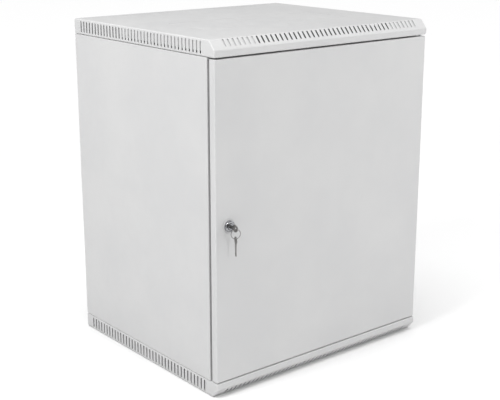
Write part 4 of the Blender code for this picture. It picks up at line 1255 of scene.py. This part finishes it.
# ---------------------------------------------------------------- door
def door_panel():
    def radius(edge):
        first, second = (vert.co for vert in edge.verts)
        if abs(first.y - second.y) > MM:
            return 1.4 * MM
        return 2.2 * MM if first.y < FRONT + MM else 1.6 * MM

    shell = bent_solid("door_sheet", lambda work: add_cube(work, DOOR_LOW, DOOR_HIGH), radius)
    inset = Vector((SHEET, SHEET, SHEET))
    hollow = bent_solid(
        "door hollow", lambda work: add_cube(work, DOOR_LOW + inset, DOOR_HIGH - inset), radius, less=SHEET
    )
    hem = 14 * MM
    mouth_outline = rounded(
        rectangle(DOOR_LOW.x + hem, DOOR_LOW.z + hem, DOOR_HIGH.x - hem, DOOR_HIGH.z - hem), 2 * MM
    )
    mouth = slab("door mouth", mouth_outline, -DOOR_HIGH.y - SHEET, -DOOR_HIGH.y + 3 * SHEET, FRONT_VIEW)
    lock_hole = bores(
        "lock hole", [((LOCK.x, FRONT, LOCK.z), 9.7 * MM)], -MM, 3 * SHEET, axis=(0, 1, 0), count=36
    )
    pin_holes = bores("pin holes", [((*HINGE, 0), 3.4 * MM)], 0, HEIGHT)
    bake(cut(shell, hollow, mouth, lock_hole, pin_holes))
    piece(shell, "door", panel_coat("door_panel"), "powder_coat", "door_panel")


def door_stiffener():
    """A hat channel on the door's inside, with a row of spot welds on each foot."""
    low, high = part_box("door_stiffener")
    t = PANEL_SHEET / 2
    wall = 15.5 * MM
    middle = [
        (low.x, low.y + t), (-wall, low.y + t), (-wall, high.y - t),
        (wall, high.y - t), (wall, low.y + t), (high.x, low.y + t),
    ]
    hat = slab("door_stiffener_hat", sheet_outline(middle, PANEL_SHEET, 1.5 * MM), low.z, high.z)
    weld = turned("spot weld", [
        (2.6 * MM, -0.2 * MM), (2.6 * MM, 0.02 * MM), (2.2 * MM, 0.14 * MM),
        (1.4 * MM, 0.08 * MM), (0.4 * MM, 0.05 * MM),
    ], None, 14)
    foot_x = (high.x + wall) / 2
    places = [
        (
            (side * foot_x, low.y + PANEL_SHEET, low.z + 30 * MM + i * (high.z - low.z - 60 * MM) / 9),
            (0, 1, 0),
        )
        for side in (-1, 1) for i in range(10)
    ]
    welds = fittings("stiffener_spot_welds", weld, places, ZINC)
    bpy.data.objects.remove(weld)
    finish = panel_coat("door_stiffener")
    piece(hat, "door", finish, "powder_coat", "door_stiffener")
    piece(welds, "door", finish, "powder_coat")


def hinge_bracket(height):
    """A folded bracket on the door's return, whose two ears guide the hinge pin."""
    node = "hinge_bracket_" + height
    low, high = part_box(node)
    t = FRAME_SHEET / 2
    middle = [(low.x, low.z + t), (high.x - t, low.z + t), (high.x - t, high.z - t), (low.x, high.z - t)]
    outline = sheet_outline(middle, FRAME_SHEET, 2.2 * MM)
    bracket = slab(node + "_fold", outline, -high.y, -low.y, FRONT_VIEW)
    bore = bores("bracket bore", [((*HINGE, 0), 3.4 * MM)], low.z - MM, high.z + MM)
    bake(cut(bracket, bore))
    piece(bracket, "door", ZINC, "zinc", node)


def hinge_pins():
    """The sprung upper pin with its collar and finger arm, and the fixed lower pin."""
    top = PIN_HIGH.z
    foot = PIN_LOW.z
    collar = DOOR_HIGH.z - 25 * MM
    ear = BRACKET_LOW.z
    pin = turned("hinge_pin_upper_rod", [
        (2.4 * MM, foot), (3 * MM, foot + 0.6 * MM), (3 * MM, collar), (4.7 * MM, collar),
        (5 * MM, collar + 0.3 * MM),
        (5 * MM, collar + 2.7 * MM), (4.7 * MM, collar + 3 * MM), (3 * MM, collar + 3 * MM),
        (3 * MM, top - 1.8 * MM), (2.5 * MM, top - 0.6 * MM), (1.6 * MM, top),
    ], HINGE_AXIS, 32)
    arm_z = ear - 2.1 * MM
    arm = turned("pin arm", [
        (1.8 * MM, 0), (1.8 * MM, 18.8 * MM), (1.5 * MM, 19.6 * MM), (0.9 * MM, 20 * MM),
    ], along_axis((-1, 0, 0), (HINGE.x, HINGE.y, arm_z)), 20)
    bake(join(pin, arm))
    piece(pin, "hinge_pin", ZINC, "zinc", "hinge_pin_upper")

    low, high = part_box("hinge_pin_lower")
    ear_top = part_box("hinge_bracket_lower")[0].z + FRAME_SHEET
    fixed = turned("hinge_pin_lower_rod", [
        (1.8 * MM, low.z), (2.6 * MM, low.z + 0.6 * MM), (3 * MM, low.z + 1.8 * MM),
        (3 * MM, ear_top + 0.3 * MM),
        (5 * MM, ear_top + 0.3 * MM), (5 * MM, ear_top + 3 * MM), (3 * MM, ear_top + 3 * MM),
        (3 * MM, high.z - 0.6 * MM), (2.4 * MM, high.z),
    ], HINGE_AXIS, 32)
    piece(fixed, "door", ZINC, "zinc", "hinge_pin_lower")

    low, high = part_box("hinge_washer")
    washer = turned("hinge_washer_ring", [
        (3.4 * MM, low.z), (6.2 * MM, low.z), (6.5 * MM, low.z + 0.3 * MM), (6.5 * MM, high.z - 0.3 * MM),
        (6.2 * MM, high.z), (3.4 * MM, high.z),
    ], HINGE_AXIS, 36, loop=True)
    piece(washer, "door", NYLON, "nylon", "hinge_washer")


def hinge_spring():
    """The coil spring under the collar of the upper pin."""
    low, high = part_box("hinge_spring")
    wire = 0.45 * MM
    radius = 3.9 * MM
    mesh = bpy.data.meshes.new("hinge_spring_coil")
    coil = new_object("hinge_spring_coil", mesh)
    add_tree(coil, COIL, {
        "Turns": 7.0, "Radius": radius, "Height": high.z - low.z - 2 * wire, "Wire": wire, "Finish": ZINC,
    })
    bake(coil)
    coil.data.transform(Matrix.Translation((*HINGE, low.z + wire)))
    piece(coil, "door", ZINC, "zinc", "hinge_spring", angle=60)
    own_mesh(coil)


def door_bumpers():
    """Soft stops with a domed face, pressed into the left post."""
    for height in ("lower", "upper"):
        low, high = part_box("door_bumper_" + height)
        middle = (low + high) / 2
        radius = (high.x - low.x) / 2
        length = high.y - low.y
        bumper = turned(f"door_bumper_{height}_pad", [
            (radius, 0), (radius, 1.4 * MM), (radius * 0.82, 2.0 * MM), (radius * 0.78, length - 1.4 * MM),
            (radius * 0.62, length - 0.5 * MM), (radius * 0.3, length),
        ], along_axis((0, -1, 0), (middle.x, high.y, middle.z)), 28)
        piece(bumper, "cabinet", RUBBER, "rubber", "door_bumper_" + height)


# ---------------------------------------------------------------- lock and keys
def lock_matrix(y):
    """Local +Z points out of the door, from a place on the lock's axis."""
    return along_axis((0, -1, 0), (LOCK.x, y, LOCK.z))


def lock_body():
    low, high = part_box("lock_escutcheon")
    thickness = high.y - low.y
    ring = turned("lock_escutcheon_ring", [
        (9.8 * MM, 0), (15 * MM, 0), (14.9 * MM, 0.4 * MM), (14.4 * MM, 0.9 * MM), (13.4 * MM, thickness),
        (9.8 * MM, thickness),
    ], lock_matrix(high.y), 56, loop=True)
    piece(ring, "door", NYLON, "nylon", "lock_escutcheon")

    barrel = 9.4 * MM
    bore = 6.6 * MM
    head = HEAD_HIGH.x - LOCK.x
    seat = low.y - 0.3 * MM
    length = HEAD_HIGH.y - seat
    height = seat - HEAD_LOW.y
    profile = [(bore, -length), (barrel - 0.5 * MM, -length), (barrel, -length + 0.6 * MM)]
    turns = int((length - 5 * MM) / (1.5 * MM))
    for i in range(turns):
        z = -length + 1.5 * MM + i * 1.5 * MM
        profile += [(barrel, z), (barrel - 0.5 * MM, z + 0.6 * MM), (barrel, z + 1.2 * MM)]
    profile += [(barrel, 0), (head - 0.2 * MM, 0), (head, 0.3 * MM), (head, height - 2.0 * MM)]
    for i in range(1, 6):
        angle = QUARTER * i / 5
        profile.append((
            head - 1.6 * MM * (1 - math.cos(angle)), height - 2.0 * MM + 1.6 * MM * math.sin(angle),
        ))
    profile += [
        (head - 2.8 * MM, height - 0.5 * MM), (head - 3.4 * MM, height - 0.9 * MM),
        (bore + 0.5 * MM, height - 0.9 * MM), (bore, height - 1.4 * MM),
    ]
    housing = turned("lock_housing_body", profile, lock_matrix(seat), 64, loop=True)
    piece(housing, "door", CHROME, "chrome", "lock_housing", angle=40)

    low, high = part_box("lock_nut")
    nut = hex_nut("lock_nut_hex", 13.6 * MM, 9.7 * MM, high.y - low.y)
    nut.data.transform(along_axis((0, 1, 0), (LOCK.x, low.y, LOCK.z)) @ Matrix.Rotation(QUARTER, 4, "Z"))
    piece(nut, "door", ZINC, "zinc", "lock_nut", angle=40)


def lock_plug():
    """The cylinder with its keyway, and the cam and screw at its rear."""
    low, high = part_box("lock_cylinder")
    cam_low, cam_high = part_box("lock_cam")
    radius = 6.2 * MM
    depth = high.y - low.y
    round_part = cam_low.y - 0.3 * MM - low.y
    plug = turned("lock_cylinder_plug", [
        (radius, -round_part), (radius, -0.5 * MM), (radius - 0.15 * MM, -0.2 * MM), (radius - 0.5 * MM, 0),
        (radius - 1.2 * MM, 0), (radius - 1.4 * MM, -0.15 * MM),
    ], lock_matrix(low.y), 48)
    tang = slab(
        "plug tang", rounded(rectangle(-3.8 * MM, -3.8 * MM, 3.8 * MM, 3.8 * MM), 0.6 * MM),
        -depth, -round_part + MM, lock_matrix(low.y), edge=0.2 * MM,
    )
    keyway = slab(
        "keyway", rounded(rectangle(-1.35 * MM, -4.1 * MM, 1.35 * MM, 4.1 * MM), 0.5 * MM),
        -25 * MM, MM, lock_matrix(low.y),
    )
    bake(join(plug, tang))
    bake(cut(plug, keyway))
    piece(plug, "lock_plug", CHROME, "chrome", "lock_cylinder")

    cam_radius = 8 * MM
    outline = arc(cam_radius, 0, math.pi, 12)
    tip = cam_low.z - LOCK.z
    outline += rounded([
        (-cam_radius, tip * 0.4), (-cam_radius, tip), (cam_radius, tip), (cam_radius, tip * 0.4),
    ], 4 * MM, closed=False, steps=6)
    tongue = slab(
        "lock_cam_tongue", outline, -cam_high.y, -cam_low.y,
        Matrix.Translation((LOCK.x, 0, LOCK.z)) @ FRONT_VIEW, edge=0.25 * MM,
    )
    hole = slab(
        "cam hole", rounded(rectangle(-4.1 * MM, -4.1 * MM, 4.1 * MM, 4.1 * MM), 0.6 * MM),
        -cam_high.y - MM, -cam_low.y + MM, Matrix.Translation((LOCK.x, 0, LOCK.z)) @ FRONT_VIEW,
    )
    bake(cut(tongue, hole))
    piece(tongue, "lock_plug", ZINC, "zinc", "lock_cam")

    screw = pan_screw("cam screw", 5.5 * MM, 2.6 * MM, 1.8 * MM, 8 * MM)
    seat = (LOCK.x, cam_high.y + 0.3 * MM, LOCK.z)
    place_fittings("lock_cam_screw_head", screw, "lock_plug", ["lock_cam_screw"], [(seat, (0, -1, 0))])


BOW_RADIUS = 8 * MM
BLADE_HALF = 3.4 * MM
KEY_LENGTH = 42 * MM
EYE_OFFSET = 1.8 * MM
KEY_HALF = 0.95 * MM


def key_outline():
    """A key as (along, across), from the middle of its bow to its tip, with the cuts on one side."""
    meet = math.asin(BLADE_HALF / BOW_RADIUS) + 0.08
    outline = arc(BOW_RADIUS, meet, 2 * math.pi - 2 * meet, 36)
    tip = KEY_LENGTH - BOW_RADIUS
    outline += [(BOW_RADIUS + MM, -BLADE_HALF)]
    outline += rounded([
        (tip - 4 * MM, -BLADE_HALF), (tip - 2 * MM, -BLADE_HALF), (tip, -BLADE_HALF + 2.2 * MM),
        (tip, BLADE_HALF - 2.2 * MM), (tip - 1.6 * MM, BLADE_HALF), (tip - 2.2 * MM, BLADE_HALF),
    ], 0.8 * MM, closed=False, steps=3)
    first_cut, pitch = 18.5 * MM, 3 * MM
    for i, depth in reversed(list(enumerate((1.2, 0.6, 1.6, 0.9, 1.4)))):
        middle = first_cut + i * pitch
        outline += [
            (middle + 1.3 * MM, BLADE_HALF - 0.1 * MM), (middle + 0.45 * MM, BLADE_HALF - depth * MM),
            (middle - 0.45 * MM, BLADE_HALF - depth * MM), (middle - 1.3 * MM, BLADE_HALF - 0.1 * MM),
        ]
    outline += [(BOW_RADIUS + MM, BLADE_HALF)]
    return outline


def key(name, node, body, matrix):
    """A key with a coined rim round its bow, milled grooves along its blade and a drilled eye."""
    blank = slab(name, key_outline(), -KEY_HALF, KEY_HALF, edge=0.3 * MM)
    eye = turned("key eye", [
        (2.9 * MM, -KEY_HALF - 0.1 * MM), (2.5 * MM, -KEY_HALF + 0.4 * MM),
        (2.5 * MM, KEY_HALF - 0.4 * MM), (2.9 * MM, KEY_HALF + 0.1 * MM),
    ], Matrix.Translation((-EYE_OFFSET, 0, 0)), 28)
    grooves = []
    for side, across in ((1, -1.1 * MM), (-1, 0.6 * MM)):
        shape = rectangle(BOW_RADIUS + 1.5 * MM, across - 0.5 * MM, KEY_LENGTH, across + 0.5 * MM)
        heights = sorted((side * (KEY_HALF - 0.4 * MM), side * (KEY_HALF + MM)))
        grooves.append(slab(f"groove {side}", shape, *heights))
    bake(cut(blank, eye, *grooves))
    blank.data.transform(matrix)
    piece(blank, body, KEY_NICKEL, "key_steel", node)


def ring_turn():
    """How far the ring is turned about the vertical, from the axis it swings on."""
    swing = next(joint for joint in frame["joints"] if joint["name"] == "ring_swing")
    return math.atan2(swing["axis"][1], swing["axis"][0])


def keys():
    low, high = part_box("door_key")
    bow_y = low.y + BOW_RADIUS
    in_lock = Matrix(((0, 0, 1, LOCK.x), (1, 0, 0, bow_y), (0, 1, 0, LOCK.z), (0, 0, 0, 1)))
    key("door_key_blank", "door_key", "inserted_key", in_lock)

    low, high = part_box("spare_key")
    eye_y = bow_y - EYE_OFFSET
    downwards = Matrix(((0, 0, 1, 0), (0, 1, 0, 0), (-1, 0, 0, 0), (0, 0, 0, 1)))
    turn = Matrix.Rotation(ring_turn(), 4, "Z")
    place = Matrix.Translation((LOCK.x, eye_y, high.z - BOW_RADIUS))
    key("spare_key_blank", "spare_key", "hanging_key", place @ turn @ downwards)

    low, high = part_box("key_ring")
    wire = 0.7 * MM
    radius = (high.z - low.z) / 2 - wire
    middle = Vector((LOCK.x, eye_y, (low.z + high.z) / 2))
    rings = []
    for i in range(64):
        angle = 2 * math.pi * i / 64
        centre = Vector((math.cos(angle), 0, math.sin(angle)))
        rings.append([
            centre * (radius + wire * math.cos(b)) + Vector((0, wire * math.sin(b), 0))
            for b in (2 * math.pi * j / 14 for j in range(14))
        ])
    ring = loft("key_ring_wire", rings, Matrix.Translation(middle) @ turn, loop=True)
    piece(ring, "ring", KEY_NICKEL, "key_steel", "key_ring", angle=60)


# ---------------------------------------------------------------- studio
CAMERA_AZIMUTH = math.radians(-39.227)
CAMERA_ELEVATION = math.radians(15.773)
CAMERA_DISTANCE = 2.476
CAMERA_LENS = 76.05
AIM = Vector((-8.0 * MM, -10.4 * MM, 326.1 * MM))
ROOM_LIGHT = (0.04, 0.92)  # from the horizon to straight above
CEILING_LIGHT = 1.26
FLOOR_HALF = 30
# The floor's colour grows paler away from the cabinet, up to the far colour: painted light where the lamps'
# light falls off.
FLOOR_NEAR = (0.83, 0.83, 0.83)
FLOOR_NEAR_SHADE = (0.81, 0.81, 0.81)
FLOOR_FAR_PAINTED_LIGHT = (0.97, 0.97, 0.97)


def hold(name, data, place, towards):
    """A camera or a light at a place, looking along a direction."""
    obj = bpy.data.objects.new(name, data)
    bpy.context.scene.collection.objects.link(obj)
    obj.location = place
    obj.rotation_mode = "QUATERNION"
    obj.rotation_quaternion = Vector(towards).to_track_quat("-Z", "Y")
    return obj


def camera():
    lens = bpy.data.cameras.new("camera")
    lens.sensor_width = 36
    lens.lens = CAMERA_LENS
    flat = math.cos(CAMERA_ELEVATION)
    back = Vector((
        math.sin(CAMERA_AZIMUTH) * flat, -math.cos(CAMERA_AZIMUTH) * flat, math.sin(CAMERA_ELEVATION),
    ))
    bpy.context.scene.camera = hold("camera", lens, AIM + back * CAMERA_DISTANCE, -back)


def floor():
    ground = new_object("studio_floor", mesh_from(
        "studio_floor",
        lambda work: bmesh.ops.create_grid(work, x_segments=4, y_segments=4, size=FLOOR_HALF),
    ))
    ground.location.z = -0.5 * MM
    paper = Finish("studio paper")
    marks = paper.group(HANDLING, Scale=0.6, Fine_Scale=8.0)
    away = add(paper.tree, "ShaderNodeVectorMath", {0: paper.place}, operation="LENGTH").outputs["Value"]
    # Painted light: the floor is made paler from 1 m to 4 m out, where the lamps' light has fallen off.
    painted_far_light = paper.between(away, 0.0, 1.0, 1.0, 4.0)
    near = paper.mix(marks["Broad"], FLOOR_NEAR, FLOOR_NEAR_SHADE)
    colour = paper.mix(painted_far_light, near, FLOOR_FAR_PAINTED_LIGHT)
    rough = paper.between(marks["Fine"], 0.82, 0.9)
    ground.data.materials.append(paper.paint(colour, rough, marks["Fine"], 0.01 * MM))


def softbox(name, place, aim_height, size, power):
    """A square soft light that looks at the cabinet's middle line."""
    light = bpy.data.lights.new(name, "AREA")
    light.shape = "SQUARE"
    light.size = size
    light.energy = power
    hold(name, light, place, Vector((0, 0, aim_height)) - Vector(place))


def world():
    """A dim room with a lighter ceiling. Behind the floor the camera sees the same white as the floor."""
    air = bpy.data.worlds.new("studio air")
    air.use_nodes = True
    tree = air.node_tree
    direction = tree.nodes.new("ShaderNodeTexCoord").outputs["Generated"]
    height = add(tree, "ShaderNodeSeparateXYZ", {0: direction}).outputs[2]
    strength = mapped(tree, height, 0.0, 1.0, *ROOM_LIGHT)
    seen = tree.nodes.new("ShaderNodeLightPath").outputs["Is Camera Ray"]
    strength = math_node(tree, "MAXIMUM", strength, seen)
    tree.nodes["Background"].inputs["Color"].default_value = (1, 1, 1, 1)
    tree.links.new(strength, tree.nodes["Background"].inputs["Strength"])
    bpy.context.scene.world = air


def ceiling():
    """One very wide light straight above, which lights floor and roof evenly."""
    light = bpy.data.lights.new("ceiling", "SUN")
    light.energy = CEILING_LIGHT
    light.angle = math.radians(50)
    hold("ceiling", light, (0, 0, 0), (0.12, 0.1, -1))


def studio():
    bpy.context.scene.view_settings.view_transform = "Standard"
    world()
    ceiling()
    softbox("front light", (-0.1, -3.9, 1.5), 0.4, 0.16, 26)
    softbox("left light", (-2.0, -0.2, 2.2), 0.5, 1.0, 37)
    softbox("right light", (1.8, -1.3, 1.2), 0.5, 1.0, 11)


# ---------------------------------------------------------------- assembly
def build():
    camera()
    trays()
    back_panel()
    for word, side in SIDES:
        side_panel(word, side)
        front_post(word, side)
        mounting_rail(word, side)
        rail_clamps(word, side)
        for height in RAIL_HEIGHTS:
            depth_rail(word, side, height)
    frame_fasteners()
    earth_stud("earth_stud_frame", "cabinet", (0, -1, 0))
    earth_stud("earth_stud_door", "door", (0, 1, 0))
    door_panel()
    door_stiffener()
    hinge_bracket("lower")
    hinge_bracket("upper")
    hinge_pins()
    hinge_spring()
    door_bumpers()
    lock_body()
    lock_plug()
    keys()
    floor()
    studio()


build()
